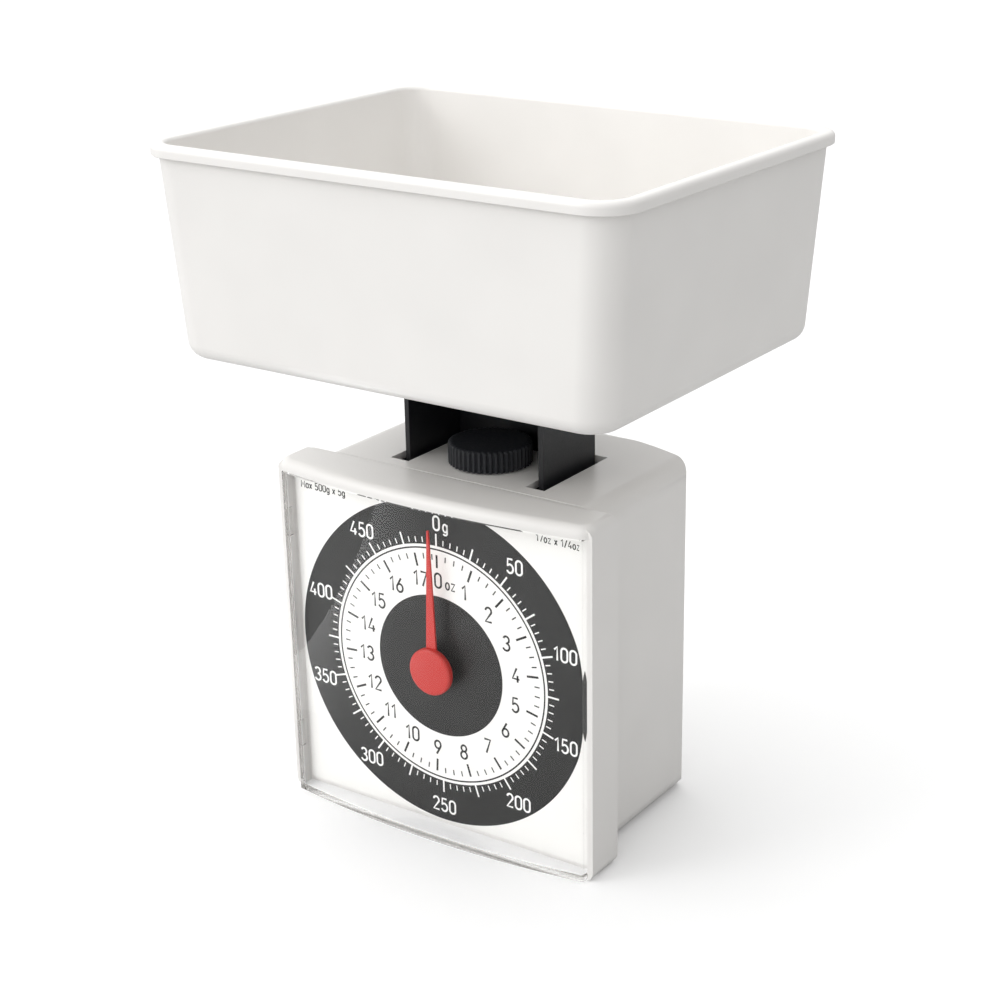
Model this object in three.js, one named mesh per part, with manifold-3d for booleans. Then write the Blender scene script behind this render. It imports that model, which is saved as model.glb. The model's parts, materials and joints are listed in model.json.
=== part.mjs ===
// Mechanical kitchen scale, 500 g, with a lift-off bowl, a rack-and-pinion dial and a zero knob.
// Millimetres, +Z up. The origin is on the table under the middle of the bowl, and the dial faces -Y.
import * as THREE from "three";
import { mergeVertices } from "three/addons/utils/BufferGeometryUtils.js";
import Module from "manifold-3d";

const wasm = await Module();
wasm.setup();

// Driving dimensions
const DIAL_Z = 44.1; // height of the dial's centre
const DIAL_Y = -27.9; // front face of the dial card
const DIAL_CARD = { halfWidth: 42.3, bottom: 2.1, top: 86.9, thickness: 0.5 };
const BODY = { halfWidth: 40.5, top: 89.6, front: -19.5, back: 29.4, wall: 1.8, edge: 5.5 };
const BODY_BACK = { bowRadius: 100, corner: 5, edge: 3 };
const BODY_SCREW = { x: 33, heights: [12, 78], seat: 14, post: 6.0, headRadius: 2.8, shankRadius: 1.3 };
const BEZEL = { halfWidth: 45.3, front: -30.9, back: -19.8, wall: 1.5, corner: 2.5 };
const HOOD = { bottom: 87.2, top: 90.2, bow: 3.4, sideFront: -32.4, roll: 2.4 };
const LENS = { halfWidth: 43.5, bottom: 0.3, top: 86.9, wall: 1.1, back: -28.2, bow: 3.3 };
const TAB = { rise: 29, halfHeight: 3.6, front: -30.3, back: -28.8, reach: 0.6, clearance: 0.25 };
const BOWL = { floorX: 59.2, floorY: 48.3, rimX: 62.6, rimY: 50.0, lipX: 64.4, lipY: 51.7 };
const BOWL_Z = { floor: 117.2, lip: 164.7, rim: 167.6 };
const BOWL_WALL = 1.8;
const BOWL_CORNER = 8;
const LOCATING_RIB = { halfX: 24.5, front: -16.5, back: 14.5, thickness: 1.4, height: 1.5 };
const PLATFORM = { halfX: 24, front: -16, back: 14, thickness: 2.1, corner: 3, screwX: 12.6, screwY: -1.5 };
const CARRIER = { halfWidth: 20.1, front: -12.6, back: 10.1, top: 114.5, bottom: 30.0, wall: 1.3, web: 1.2 };
const CARRIER_EAR = { front: -18.2, bottom: 64.5, top: 71.5 };
const LINK_PIN_RADIUS = 1.2;
const RACK_PIN = { y: -16.0, z: 68.0, radius: 0.8 };
const SPRING_PIN_RADIUS = 1.2;
const SLOT = { inner: 17.1, outer: 22.4, front: -15.6, webFront: 7.1, back: 12.2 };
const KNOB = { y: -5.4, radius: 10.2, bottom: 90.0, top: 95.2, flutes: 36, stemRadius: 2.9, stemBottom: 84.0 };
const CLIP = { bottom: 86.4, thickness: 0.8, radius: 4.6, seatRadius: 2.3 };
const ADJUSTER_SCREW = { radius: 2.0, bottom: 72.5, top: 91.6 };
const HANGER = { halfX: 5.2, depth: 3.5, bottom: 65.6, plate: 76, top: 79, strap: 1.0 };
const TRAVEL = 13.2; // carrier travel to the overload stop: 500 g is one turn of the pinion, 12.57 mm
const MODULE = 0.4;
const PINION_TEETH = 10;
const GEAR = { front: -17.5, width: 3.0, addendum: 0.4, dedendum: 0.55, rackAddendum: 0.3, flank: 0.364 };
const BACKLASH = 0.05;
const RACK = { back: 6.0, bottom: 38.5, topAbovePin: 3.2 };
const GUIDE = { clearance: 0.15, x1: 8.7, halfDepth: 1.5, halfHeight: 3.0, pegRadius: 1.0 };
const POINTER = { hubRadius: 6.1, rootHalf: 1.55, tipHalf: 0.22, length: 36, bladeFront: 3.4, bladeBack: 2.8 };
const LINK = { pivotY: 14.0, pinY: -10.8, upperZ: 71.7, lowerZ: 29.7, armX: 22.4, sheet: 1.0, slotHalf: 0.6 };
const CHASSIS = { halfWidth: 27.0, front: -20.0, back: 18.2, bottom: 8.0, top: 80.0, sheet: 1.2 };
const CHASSIS_FOOT = { x: 20, heights: [14.0, 50.8], halfX: 4, halfZ: 5 };
const BRIDGE = { halfWidth: 10, footX: 15, bottom: 39, top: 49.2, back: -11.7, sheet: 1.0, screwX: 12.6 };
const BUSH = { radius: 2.6, flange: 3.6, flangeThickness: 1.0 };
const SPRING = { top: 67.0, bottom: 33.0, radius: 3.0, wire: 0.45, turns: 12 };
const PIVOT_RADIUS = 1.5;
const SPINDLE_RADIUS = 0.75;
const PRESS_FIT = 0.05;
const RUNNING_FIT = 0.1;
const GAP = 0.3;

// Derived dimensions
const PITCH_RADIUS = (MODULE * PINION_TEETH) / 2;
const TOOTH_PITCH = Math.PI * MODULE;
const LINK_SPAN = LINK.pivotY - LINK.pinY;
// The link swings equally above and below level, so its length lies between its two extreme spans.
const LINK_LENGTH = (2 * LINK_SPAN) / (1 + Math.cos(TRAVEL / 2 / LINK_SPAN));
const LINK_TILT = Math.asin(TRAVEL / 2 / LINK_LENGTH);
// Height of the carrier's pins above the links' pivots, at rest.
const PIN_RISE = TRAVEL / 2;
const HALF_TOOTH = TOOTH_PITCH / 4 - BACKLASH;
const GEAR_MIDDLE = GEAR.front + GEAR.width / 2;
const BRIDGE_FRONT = CHASSIS.front + CHASSIS.sheet + GAP;

const FINISH = {
  white: { color: 0xf2f1ef, roughness: 0.35, metalness: 0 },
  clear: { color: 0xf4f6f6, roughness: 0.08, metalness: 0, transparent: true, opacity: 0.3 },
  card: { color: 0xfafafa, roughness: 0.6, metalness: 0 },
  red: { color: 0xd9453b, roughness: 0.45, metalness: 0 },
  black: { color: 0x1c1d20, roughness: 0.4, metalness: 0 },
  knob: { color: 0x22242a, roughness: 0.55, metalness: 0 },
  steel: { color: 0xb4b6b8, roughness: 0.35, metalness: 1 },
  brass: { color: 0xc2a14d, roughness: 0.3, metalness: 1 },
  acetal: { color: 0xe6e3da, roughness: 0.45, metalness: 0 },
};

const scale = new THREE.Group();

function add(name, finish, geometry) {
  const mesh = new THREE.Mesh(geometry, new THREE.MeshStandardMaterial(FINISH[finish]));
  mesh.name = name;
  scale.add(mesh);
  return mesh;
}

// Solids: joining and cutting

function solid(geometry) {
  const bare = geometry.clone();
  bare.deleteAttribute("normal");
  bare.deleteAttribute("uv");
  const merged = mergeVertices(bare, 1e-4);
  return new wasm.Manifold(
    new wasm.Mesh({
      numProp: 3,
      vertProperties: new Float32Array(merged.attributes.position.array),
      triVerts: new Uint32Array(merged.index.array),
    }),
  );
}

function surface(manifold) {
  const mesh = manifold.getMesh();
  const geometry = new THREE.BufferGeometry();
  geometry.setAttribute("position", new THREE.BufferAttribute(new Float32Array(mesh.vertProperties), 3));
  geometry.setIndex(new THREE.BufferAttribute(new Uint32Array(mesh.triVerts), 1));
  geometry.computeVertexNormals();
  return geometry;
}

// Joins the first list of geometries, then cuts the second list out of them.
function build(joined, cut = []) {
  let made = solid(joined[0]);
  for (const geometry of joined.slice(1)) made = made.add(solid(geometry));
  for (const geometry of cut) made = made.subtract(solid(geometry));
  return surface(made);
}

// Primitives placed in the part's own frame

function block(x0, x1, y0, y1, z0, z1) {
  const geometry = new THREE.BoxGeometry(x1 - x0, y1 - y0, z1 - z0);
  return geometry.translate((x0 + x1) / 2, (y0 + y1) / 2, (z0 + z1) / 2);
}

function rodX(radius, x0, x1, y, z, segments = 14) {
  const geometry = new THREE.CylinderGeometry(radius, radius, x1 - x0, segments);
  return geometry.rotateZ(-Math.PI / 2).translate((x0 + x1) / 2, y, z);
}

function rodY(radius, y0, y1, x, z, segments = 14) {
  const geometry = new THREE.CylinderGeometry(radius, radius, y1 - y0, segments);
  return geometry.translate(x, (y0 + y1) / 2, z);
}

function rodZ(radius, z0, z1, x, y, segments = 14) {
  const geometry = new THREE.CylinderGeometry(radius, radius, z1 - z0, segments);
  return geometry.rotateX(Math.PI / 2).translate(x, y, (z0 + z1) / 2);
}

function extrude(shape, depth, curveSegments = 2) {
  return new THREE.ExtrudeGeometry(shape, { depth, bevelEnabled: false, curveSegments });
}

// An outline drawn in X and Z, given thickness along Y.
function facingFront(shape, y0, y1, curveSegments) {
  return extrude(shape, y1 - y0, curveSegments).rotateX(Math.PI / 2).translate(0, y1, 0);
}

// An outline drawn in Y and Z, given thickness along X.
function facingSide(shape, x0, x1, curveSegments) {
  const turn = new THREE.Matrix4().makeBasis(
    new THREE.Vector3(0, 1, 0),
    new THREE.Vector3(0, 0, 1),
    new THREE.Vector3(1, 0, 0),
  );
  return extrude(shape, x1 - x0, curveSegments).applyMatrix4(turn).translate(x0, 0, 0);
}

function roundedRect(x0, x1, y0, y1, radius) {
  const shape = new THREE.Shape();
  shape.moveTo(x0 + radius, y0);
  shape.absarc(x1 - radius, y0 + radius, radius, -Math.PI / 2, 0);
  shape.absarc(x1 - radius, y1 - radius, radius, 0, Math.PI / 2);
  shape.absarc(x0 + radius, y1 - radius, radius, Math.PI / 2, Math.PI);
  shape.absarc(x0 + radius, y0 + radius, radius, Math.PI, 1.5 * Math.PI);
  shape.closePath();
  return shape;
}

// A screw along +Z with its head's top at z = 0: countersunk head and a plain shank.
function screw(headRadius, headHeight, shankRadius, length) {
  const profile = [
    new THREE.Vector2(0, -length),
    new THREE.Vector2(shankRadius * 0.6, -length),
    new THREE.Vector2(shankRadius, -length + shankRadius * 0.6),
    new THREE.Vector2(shankRadius, -headHeight),
    new THREE.Vector2(headRadius, -headHeight * 0.35),
    new THREE.Vector2(headRadius, 0),
    new THREE.Vector2(0, 0),
  ];
  const drive = Math.min(headHeight * 0.5, 1.0);
  const turned = new THREE.LatheGeometry(profile, 10).rotateX(Math.PI / 2);
  return build(
    [turned],
    [
      block(-headRadius * 0.55, headRadius * 0.55, -0.25, 0.25, -drive, 1),
      block(-0.25, 0.25, -headRadius * 0.55, headRadius * 0.55, -drive, 1),
    ],
  );
}

// A pin along X with a flat head at its +X end.
function headedPin(radius, headRadius, x0, x1, y, z) {
  return build([rodX(radius, x0, x1, y, z), rodX(headRadius, x1 - 0.01, x1 + 0.8, y, z)]);
}

// Bowl: a profile swept round a rounded rectangle, as a lathe sweeps one round a circle.
// Each profile point is [half width, half depth, corner radius, height].
function rectangularLathe(profile, cornerSegments) {
  const rings = profile.map(([halfX, halfY, radius, z]) => {
    const outline = roundedRect(-halfX, halfX, -halfY, halfY, radius);
    const points = outline.getPoints(cornerSegments).slice(0, -1);
    return points.map((point) => new THREE.Vector3(point.x, point.y, z));
  });
  const count = rings[0].length;
  const vertices = rings.flat();
  const indices = [];
  for (let ring = 0; ring + 1 < rings.length; ring++) {
    for (let i = 0; i < count; i++) {
      const a = ring * count + i;
      const b = ring * count + ((i + 1) % count);
      indices.push(a, b, b + count, a, b + count, a + count);
    }
  }
  for (const [ring, outward] of [[0, false], [rings.length - 1, true]]) {
    const centre = vertices.length;
    vertices.push(new THREE.Vector3(0, 0, profile[ring][3]));
    for (let i = 0; i < count; i++) {
      const a = ring * count + i;
      const b = ring * count + ((i + 1) % count);
      indices.push(centre, ...(outward ? [a, b] : [b, a]));
    }
  }
  return new THREE.BufferGeometry().setFromPoints(vertices).setIndex(indices);
}

function bowl() {
  const { floorX, floorY, rimX, rimY, lipX, lipY } = BOWL;
  const { floor, lip, rim } = BOWL_Z;
  const slopeX = (rimX - floorX) / (lip - floor);
  const slopeY = (rimY - floorY) / (lip - floor);
  const sunk = (halfX, halfY, inset, z) => [halfX - inset, halfY - inset, BOWL_CORNER - inset, z];
  const outer = (z, inset = 0) => {
    return sunk(floorX + slopeX * (z - floor), floorY + slopeY * (z - floor), inset, z);
  };
  const inner = (z, inset = 0) => outer(z, BOWL_WALL + inset);
  const onLip = (z, inset = 0) => [lipX - inset, lipY - inset, BOWL_CORNER + 1.6 - inset, z];
  const profile = [
    outer(floor, 3.6),
    outer(floor + 0.25, 2.1),
    outer(floor + 1.1, 0.9),
    outer(floor + 2.4, 0.2),
    outer(floor + 4),
    outer(rim - 1.8),
    onLip(rim - 1.8, 1.1),
    onLip(lip, 0.9),
    onLip(lip),
    onLip(lip + 0.7),
    onLip(rim - 0.9, 0.5),
    onLip(rim - 0.25, 1.2),
    onLip(rim, 2.1),
    sunk(rimX, rimY, 1.0, rim),
    inner(rim - 0.8),
    inner(floor + 5),
    inner(floor + 2.6, 1.2),
    inner(floor + 2, 3),
  ];
  const shell = rectangularLathe(profile, 6);
  add("bowl", "white", build([shell, locatingRib()]));
}

// A low rib under the bowl's floor, which fits round the platform.
function locatingRib() {
  const { halfX, front, back, thickness, height } = LOCATING_RIB;
  const outside = [-halfX - thickness, halfX + thickness, front - thickness, back + thickness];
  const { floor } = BOWL_Z;
  const ring = block(...outside, floor - height, floor + 0.5);
  return build([ring], [block(-halfX, halfX, front, back, floor - 5, floor)]);
}

// Platform and carrier

function platform() {
  const { halfX, front, back, thickness, corner, screwX, screwY } = PLATFORM;
  const bottom = CARRIER.top + GAP;
  const seat = bottom + 0.7;
  const holes = [-1, 1].flatMap((side) => [
    rodZ(1.45, bottom - 1, seat + 1, side * screwX, screwY),
    rodZ(3.0, seat, seat + 5, side * screwX, screwY),
  ]);
  const plate = extrude(roundedRect(-halfX, halfX, front, back, corner), thickness).translate(0, 0, bottom);
  add("bowl_platform", "black", build([plate], holes));
  [-1, 1].forEach((side, index) => {
    const mesh = add(`platform_screw_${index + 1}`, "steel", screw(2.6, 1.1, 1.1, 9.0));
    mesh.position.set(side * screwX, screwY, seat + 1.2);
  });
}

function carrier() {
  const { halfWidth, front, back, top, bottom, wall, web } = CARRIER;
  const { screwX, screwY } = PLATFORM;
  const ear = roundedRect(CARRIER_EAR.front, front + 1, CARRIER_EAR.bottom, CARRIER_EAR.top, 1.5);
  const joined = [
    block(-halfWidth, halfWidth, back - web - 0.6, back - 0.6, bottom, top),
    block(-halfWidth, halfWidth, front, back - 1, top - 1.8, top),
  ];
  const cut = [
    rodX(LINK_PIN_RADIUS + PRESS_FIT, -30, 30, LINK.pinY, LINK.upperZ + PIN_RISE),
    rodX(LINK_PIN_RADIUS + PRESS_FIT, -30, 30, LINK.pinY, LINK.lowerZ + PIN_RISE),
    rodX(RACK_PIN.radius + PRESS_FIT, -30, 30, RACK_PIN.y, RACK_PIN.z),
    rodX(SPRING_PIN_RADIUS + PRESS_FIT, -30, 30, KNOB.y, SPRING.bottom),
  ];
  for (const side of [-1, 1]) {
    const x = side > 0 ? halfWidth - wall : -halfWidth;
    joined.push(block(x, x + wall, front, back, bottom, top));
    joined.push(facingSide(ear, x, x + wall));
    joined.push(rodZ(2.6, top - 8.4, top - 1, side * screwX, screwY));
    cut.push(rodZ(1.2, top - 10, top + 1, side * screwX, screwY));
  }
  add("carrier", "black", build(joined, cut));
  carrierPins();
}

function carrierPins() {
  const reach = LINK.armX + LINK.sheet + 0.6;
  for (const [name, z] of [["upper_carrier_pin", LINK.upperZ], ["lower_carrier_pin", LINK.lowerZ]]) {
    add(name, "steel", headedPin(LINK_PIN_RADIUS, 2.0, -reach, reach, LINK.pinY, z + PIN_RISE));
  }
  const ends = [-CARRIER.halfWidth - 0.8, CARRIER.halfWidth + 0.2];
  add("rack_pin", "steel", headedPin(RACK_PIN.radius, 1.7, ...ends, RACK_PIN.y, RACK_PIN.z));
  add("spring_pin", "steel", headedPin(SPRING_PIN_RADIUS, 1.9, ...ends, KNOB.y, SPRING.bottom));
}

// Links: two arms and a cross plate behind the pivot, drawn level and tilted to their rest angle.

function link(name, pivotZ) {
  const { pivotY, armX, sheet, slotHalf } = LINK;
  const endRadius = 2.9;
  const arm = new THREE.Shape();
  arm.moveTo(3, -2.6);
  arm.lineTo(3, 2.6);
  arm.lineTo(-LINK_LENGTH, endRadius);
  arm.absarc(-LINK_LENGTH, 0, endRadius, Math.PI / 2, 1.5 * Math.PI);
  arm.closePath();
  const slotRadius = LINK_PIN_RADIUS + 2 * RUNNING_FIT;
  const slot = new THREE.Shape();
  slot.moveTo(-LINK_LENGTH - slotHalf, slotRadius);
  slot.absarc(-LINK_LENGTH - slotHalf, 0, slotRadius, Math.PI / 2, 1.5 * Math.PI);
  slot.absarc(-LINK_LENGTH + slotHalf, 0, slotRadius, -Math.PI / 2, Math.PI / 2);
  slot.closePath();
  const plate = block(-armX - 0.5, armX + 0.5, -2.4, 3, -2.6, -1.6);
  const made = build(
    [facingSide(arm, armX, armX + sheet), facingSide(arm, -armX - sheet, -armX), plate],
    [facingSide(slot, -30, 30), rodX(PIVOT_RADIUS + RUNNING_FIT, -30, 30, 0, 0)],
  );
  const tilt = new THREE.Group();
  tilt.position.set(0, pivotY, pivotZ);
  tilt.rotation.x = -LINK_TILT;
  const mesh = add(name, "steel", made);
  tilt.add(mesh);
  scale.add(tilt);
}

function links() {
  link("upper_link", LINK.upperZ);
  link("lower_link", LINK.lowerZ);
  const reach = CHASSIS.halfWidth + 0.8;
  for (const [name, z] of [["upper_pivot_pin", LINK.upperZ], ["lower_pivot_pin", LINK.lowerZ]]) {
    add(name, "steel", headedPin(PIVOT_RADIUS, 2.4, -reach, CHASSIS.halfWidth + 0.2, LINK.pivotY, z));
  }
}

// Chassis: front plate, two cheeks and two pairs of turned-in feet that screw to the rear housing.

function chassis() {
  const { halfWidth, front, back, bottom, top, sheet } = CHASSIS;
  const joined = [
    block(-halfWidth, halfWidth, front, front + sheet, bottom, top),
    block(-halfWidth, -halfWidth + sheet, front, back, bottom, top),
    block(halfWidth - sheet, halfWidth, front, back, bottom, top),
  ];
  // Windows lighten the cheeks, and the bush and the bridge's screws pass through the front plate.
  const cut = [
    facingSide(roundedRect(-12, 8, 18, 26, 3), -40, 40),
    facingSide(roundedRect(-12, 8, 36, 64, 3), -40, 40),
    rodX(PIVOT_RADIUS + PRESS_FIT, -40, 40, LINK.pivotY, LINK.upperZ),
    rodX(PIVOT_RADIUS + PRESS_FIT, -40, 40, LINK.pivotY, LINK.lowerZ),
    rodY(BUSH.radius + PRESS_FIT, front - 1, front + 3, 0, DIAL_Z),
    rodY(1.15, front - 1, front + 3, -BRIDGE.screwX, DIAL_Z),
    rodY(1.15, front - 1, front + 3, BRIDGE.screwX, DIAL_Z),
  ];
  for (const { x, side, z } of chassisFeet()) {
    const inner = x - side * CHASSIS_FOOT.halfX;
    const outer = side * halfWidth;
    const span = [Math.min(inner, outer), Math.max(inner, outer)];
    joined.push(block(...span, back - sheet, back, z - CHASSIS_FOOT.halfZ, z + CHASSIS_FOOT.halfZ));
    cut.push(rodY(1.5, back - 4, back + 4, x, z));
  }
  add("chassis", "steel", build(joined, cut));

  chassisFeet().forEach(({ x, z }, index) => {
    const mesh = add(`chassis_screw_${index + 1}`, "steel", screw(2.8, 1.6, 1.3, 9.0));
    mesh.rotation.x = Math.PI / 2;
    mesh.position.set(x, back - sheet - 1.9, z);
  });
}

function chassisFeet() {
  return CHASSIS_FOOT.heights.flatMap((z) => [-1, 1].map((side) => ({ x: side * CHASSIS_FOOT.x, side, z })));
}

// Bearings: a bridge behind the front plate carries the spindle's rear bush and the rack's guide.

function bearings() {
  const { halfWidth, footX, bottom, top, back, sheet, screwX } = BRIDGE;
  const joined = [block(-halfWidth, halfWidth, back - sheet, back, bottom, top)];
  const cut = [
    rodY(BUSH.radius + PRESS_FIT, back - 3, back + 1, 0, DIAL_Z),
    rodX(GUIDE.pegRadius + PRESS_FIT, 5, 12, GEAR_MIDDLE, DIAL_Z),
  ];
  for (const side of [-1, 1]) {
    const leg = [side * halfWidth, side * (halfWidth - sheet)];
    const foot = [side * (halfWidth - sheet), side * footX];
    joined.push(block(Math.min(...leg), Math.max(...leg), BRIDGE_FRONT, back, bottom, top));
    joined.push(block(Math.min(...foot), Math.max(...foot), BRIDGE_FRONT, BRIDGE_FRONT + sheet, bottom, top));
    cut.push(rodY(1.3, BRIDGE_FRONT - 1, BRIDGE_FRONT + 3, side * screwX, DIAL_Z));
  }
  add("bearing_bridge", "steel", build(joined, cut));

  [-1, 1].forEach((side, index) => {
    const mesh = add(`bridge_screw_${index + 1}`, "steel", screw(2.0, 1.0, 1.0, 4.6));
    mesh.rotation.x = -Math.PI / 2;
    mesh.position.set(side * screwX, BRIDGE_FRONT + sheet + 1.25, DIAL_Z);
  });

  const { front, sheet: plate } = CHASSIS;
  bush("front_bush", front - 0.5, front + plate, front - GAP - BUSH.flangeThickness);
  bush("rear_bush", back - sheet, back + 0.5, back + GAP);
  rackGuide();
}

// A flanged bush along Y for the spindle.
function bush(name, y0, y1, flangeY) {
  const body = rodY(BUSH.radius, y0, y1, 0, DIAL_Z);
  const flange = rodY(BUSH.flange, flangeY, flangeY + BUSH.flangeThickness, 0, DIAL_Z);
  const bore = rodY(SPINDLE_RADIUS + RUNNING_FIT, y0 - 5, y1 + 5, 0, DIAL_Z);
  add(name, "brass", build([body, flange], [bore]));
}

// The guide's peg sits in the bridge's leg, and its face keeps the rack in mesh.
function rackGuide() {
  const { clearance, x1, halfDepth, halfHeight, pegRadius } = GUIDE;
  const depth = [GEAR_MIDDLE - halfDepth, GEAR_MIDDLE + halfDepth];
  const shoe = block(RACK.back + clearance, x1, ...depth, DIAL_Z - halfHeight, DIAL_Z + halfHeight);
  const peg = rodX(pegRadius, x1 - 0.1, BRIDGE.halfWidth + 0.4, GEAR_MIDDLE, DIAL_Z);
  add("rack_guide", "acetal", build([shoe, peg]));
}

// Gear train: spindle, pinion and rack. Each tooth is a straight-sided trapezium with a little backlash.

function pinion() {
  const outerRadius = PITCH_RADIUS + GEAR.addendum;
  const rootRadius = PITCH_RADIUS - GEAR.dedendum;
  const corner = (radius, halfWidth, angle) => {
    const turn = angle + halfWidth / radius;
    return new THREE.Vector2(radius * Math.sin(turn), radius * Math.cos(turn));
  };
  const points = [];
  for (let tooth = 0; tooth < PINION_TEETH; tooth++) {
    // The rack lies at +X, so a gap of the pinion faces it at rest.
    const angle = Math.PI / 2 + ((tooth + 0.5) * 2 * Math.PI) / PINION_TEETH;
    points.push(
      corner(rootRadius, -HALF_TOOTH - 0.02, angle),
      corner(PITCH_RADIUS, -HALF_TOOTH + 0.02, angle),
      corner(outerRadius, -HALF_TOOTH * 0.42, angle),
      corner(outerRadius, HALF_TOOTH * 0.42, angle),
      corner(PITCH_RADIUS, HALF_TOOTH - 0.02, angle),
      corner(rootRadius, HALF_TOOTH + 0.02, angle),
    );
  }
  const outline = new THREE.Shape(points);
  const teeth = facingFront(outline, GEAR.front, GEAR.front + GEAR.width);
  const hub = rodY(1.5, GEAR.front + GEAR.width - 0.1, GEAR.front + GEAR.width + 1.2, 0, 0);
  const bore = rodY(SPINDLE_RADIUS + 0.03, -30, 0, 0, 0);
  add("pinion", "brass", build([teeth, hub], [bore])).position.z = DIAL_Z;
}

function rack() {
  const outline = new THREE.Shape();
  const rootX = PITCH_RADIUS + GEAR.dedendum;
  const tipX = PITCH_RADIUS - GEAR.rackAddendum;
  const top = RACK_PIN.z + RACK.topAbovePin;
  outline.moveTo(RACK.back, RACK.bottom);
  outline.lineTo(RACK.back, top);
  outline.lineTo(rootX, top);
  const count = Math.ceil((TRAVEL + 4) / TOOTH_PITCH);
  for (let tooth = count; tooth >= -2; tooth--) {
    const z = DIAL_Z + tooth * TOOTH_PITCH;
    outline.lineTo(rootX, z + HALF_TOOTH + GEAR.flank * GEAR.dedendum);
    outline.lineTo(tipX, z + HALF_TOOTH - GEAR.flank * GEAR.rackAddendum);
    outline.lineTo(tipX, z - HALF_TOOTH + GEAR.flank * GEAR.rackAddendum);
    outline.lineTo(rootX, z - HALF_TOOTH - GEAR.flank * GEAR.dedendum);
  }
  outline.lineTo(rootX, RACK.bottom);
  outline.closePath();
  const bar = facingFront(outline, GEAR.front, GEAR.front + GEAR.width);
  const eye = rodX(RACK_PIN.radius + RUNNING_FIT, 0, 10, RACK_PIN.y, RACK_PIN.z);
  add("rack", "acetal", build([bar], [eye]));
}

function spindle() {
  const collar = CHASSIS.front + CHASSIS.sheet + 0.15;
  const made = build([
    rodY(SPINDLE_RADIUS, DIAL_Y - 4.2, BRIDGE.back + 1.6, 0, DIAL_Z),
    rodY(1.4, collar, collar + 0.6, 0, DIAL_Z),
  ]);
  add("pointer_spindle", "steel", made);
}

function pointer() {
  const { hubRadius, rootHalf, tipHalf, length, bladeFront, bladeBack } = POINTER;
  const hubProfile = [
    new THREE.Vector2(0, 0),
    new THREE.Vector2(hubRadius - 0.8, 0),
    new THREE.Vector2(hubRadius, 0.5),
    new THREE.Vector2(hubRadius, 1.6),
    new THREE.Vector2(hubRadius - 0.5, 2.1),
    new THREE.Vector2(0, 2.3),
  ];
  // The lathe's axis is Y, so turning it half round X makes its domed end face -Y.
  const hub = new THREE.LatheGeometry(hubProfile, 28).rotateX(Math.PI).translate(0, DIAL_Y - 2.6, 0);
  const needle = new THREE.Shape();
  needle.moveTo(-rootHalf, 4);
  needle.lineTo(rootHalf, 4);
  needle.lineTo(tipHalf, length);
  needle.absarc(0, length, tipHalf, 0, Math.PI);
  needle.closePath();
  const blade = facingFront(needle, DIAL_Y - bladeFront, DIAL_Y - bladeBack);
  const boss = rodY(1.9, DIAL_Y - 2.7, DIAL_Y - 1.2, 0, 0);
  const bore = rodY(SPINDLE_RADIUS + 0.03, DIAL_Y - 4.25, DIAL_Y, 0, 0);
  add("pointer", "red", build([hub, blade, boss], [bore])).position.z = DIAL_Z;
}

// Zero adjuster: the knob turns a screw, which raises or lowers the hanger of the spring.

function zeroKnob() {
  const { y, radius, bottom, top, flutes, stemRadius, stemBottom } = KNOB;
  const profile = [
    new THREE.Vector2(0, stemBottom),
    new THREE.Vector2(stemRadius, stemBottom),
    new THREE.Vector2(stemRadius, bottom),
    new THREE.Vector2(radius, bottom),
    new THREE.Vector2(radius, top - 0.9),
    new THREE.Vector2(radius - 0.9, top),
    new THREE.Vector2(0, top),
  ];
  const body = new THREE.LatheGeometry(profile, 2 * flutes).rotateX(Math.PI / 2);
  const fluteCentre = radius + 0.25;
  const grooves = [];
  for (let flute = 0; flute < flutes; flute++) {
    const angle = ((flute + 0.5) * 2 * Math.PI) / flutes;
    const centre = [fluteCentre * Math.cos(angle), fluteCentre * Math.sin(angle)];
    grooves.push(rodZ(0.65, bottom - 1, top + 1, ...centre, 4));
  }
  const socket = rodZ(ADJUSTER_SCREW.radius + PRESS_FIT, stemBottom - 1, ADJUSTER_SCREW.top + 0.4, 0, 0);
  const groove = [CLIP.bottom - GAP, CLIP.bottom + CLIP.thickness + GAP];
  const clipGroove = build([rodZ(4, ...groove, 0, 0)], [rodZ(CLIP.seatRadius, ...groove, 0, 0)]);
  add("zero_knob", "knob", build([body], [...grooves, socket, clipGroove])).position.y = y;
}

function zeroAdjuster() {
  const { bottom, thickness, radius, seatRadius } = CLIP;
  const disc = rodZ(radius, bottom, bottom + thickness, 0, 0);
  const seat = rodZ(seatRadius + RUNNING_FIT, bottom - 1, bottom + 2, 0, 0);
  const mouth = block(-1.6, 1.6, -6, 0, bottom - 1, bottom + 2);
  add("knob_clip", "steel", build([disc], [seat, mouth])).position.y = KNOB.y;

  const screwHeights = [ADJUSTER_SCREW.bottom, ADJUSTER_SCREW.top];
  add("adjuster_screw", "steel", rodZ(ADJUSTER_SCREW.radius, ...screwHeights, 0, KNOB.y));
}

// The hanger: a plate threaded on the adjuster screw and a stirrup for the top of the spring.
function springHanger() {
  const { halfX, depth, bottom, plate, top, strap } = HANGER;
  const { y } = KNOB;
  const joined = [
    block(-halfX, halfX, y - depth, y + depth, plate, top),
    block(-halfX, -halfX + strap, y - 2, y + 2, bottom, plate + 1),
    block(halfX - strap, halfX, y - 2, y + 2, bottom, plate + 1),
    rodX(1.0, -halfX, halfX, y, SPRING.top),
  ];
  const thread = rodZ(ADJUSTER_SCREW.radius + 0.12, plate - 2, top + 2, 0, y);
  add("spring_hanger", "steel", build(joined, [thread]));
}

// Main spring: a helix with a loop round the bar at each end, drawn as one path.

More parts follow.
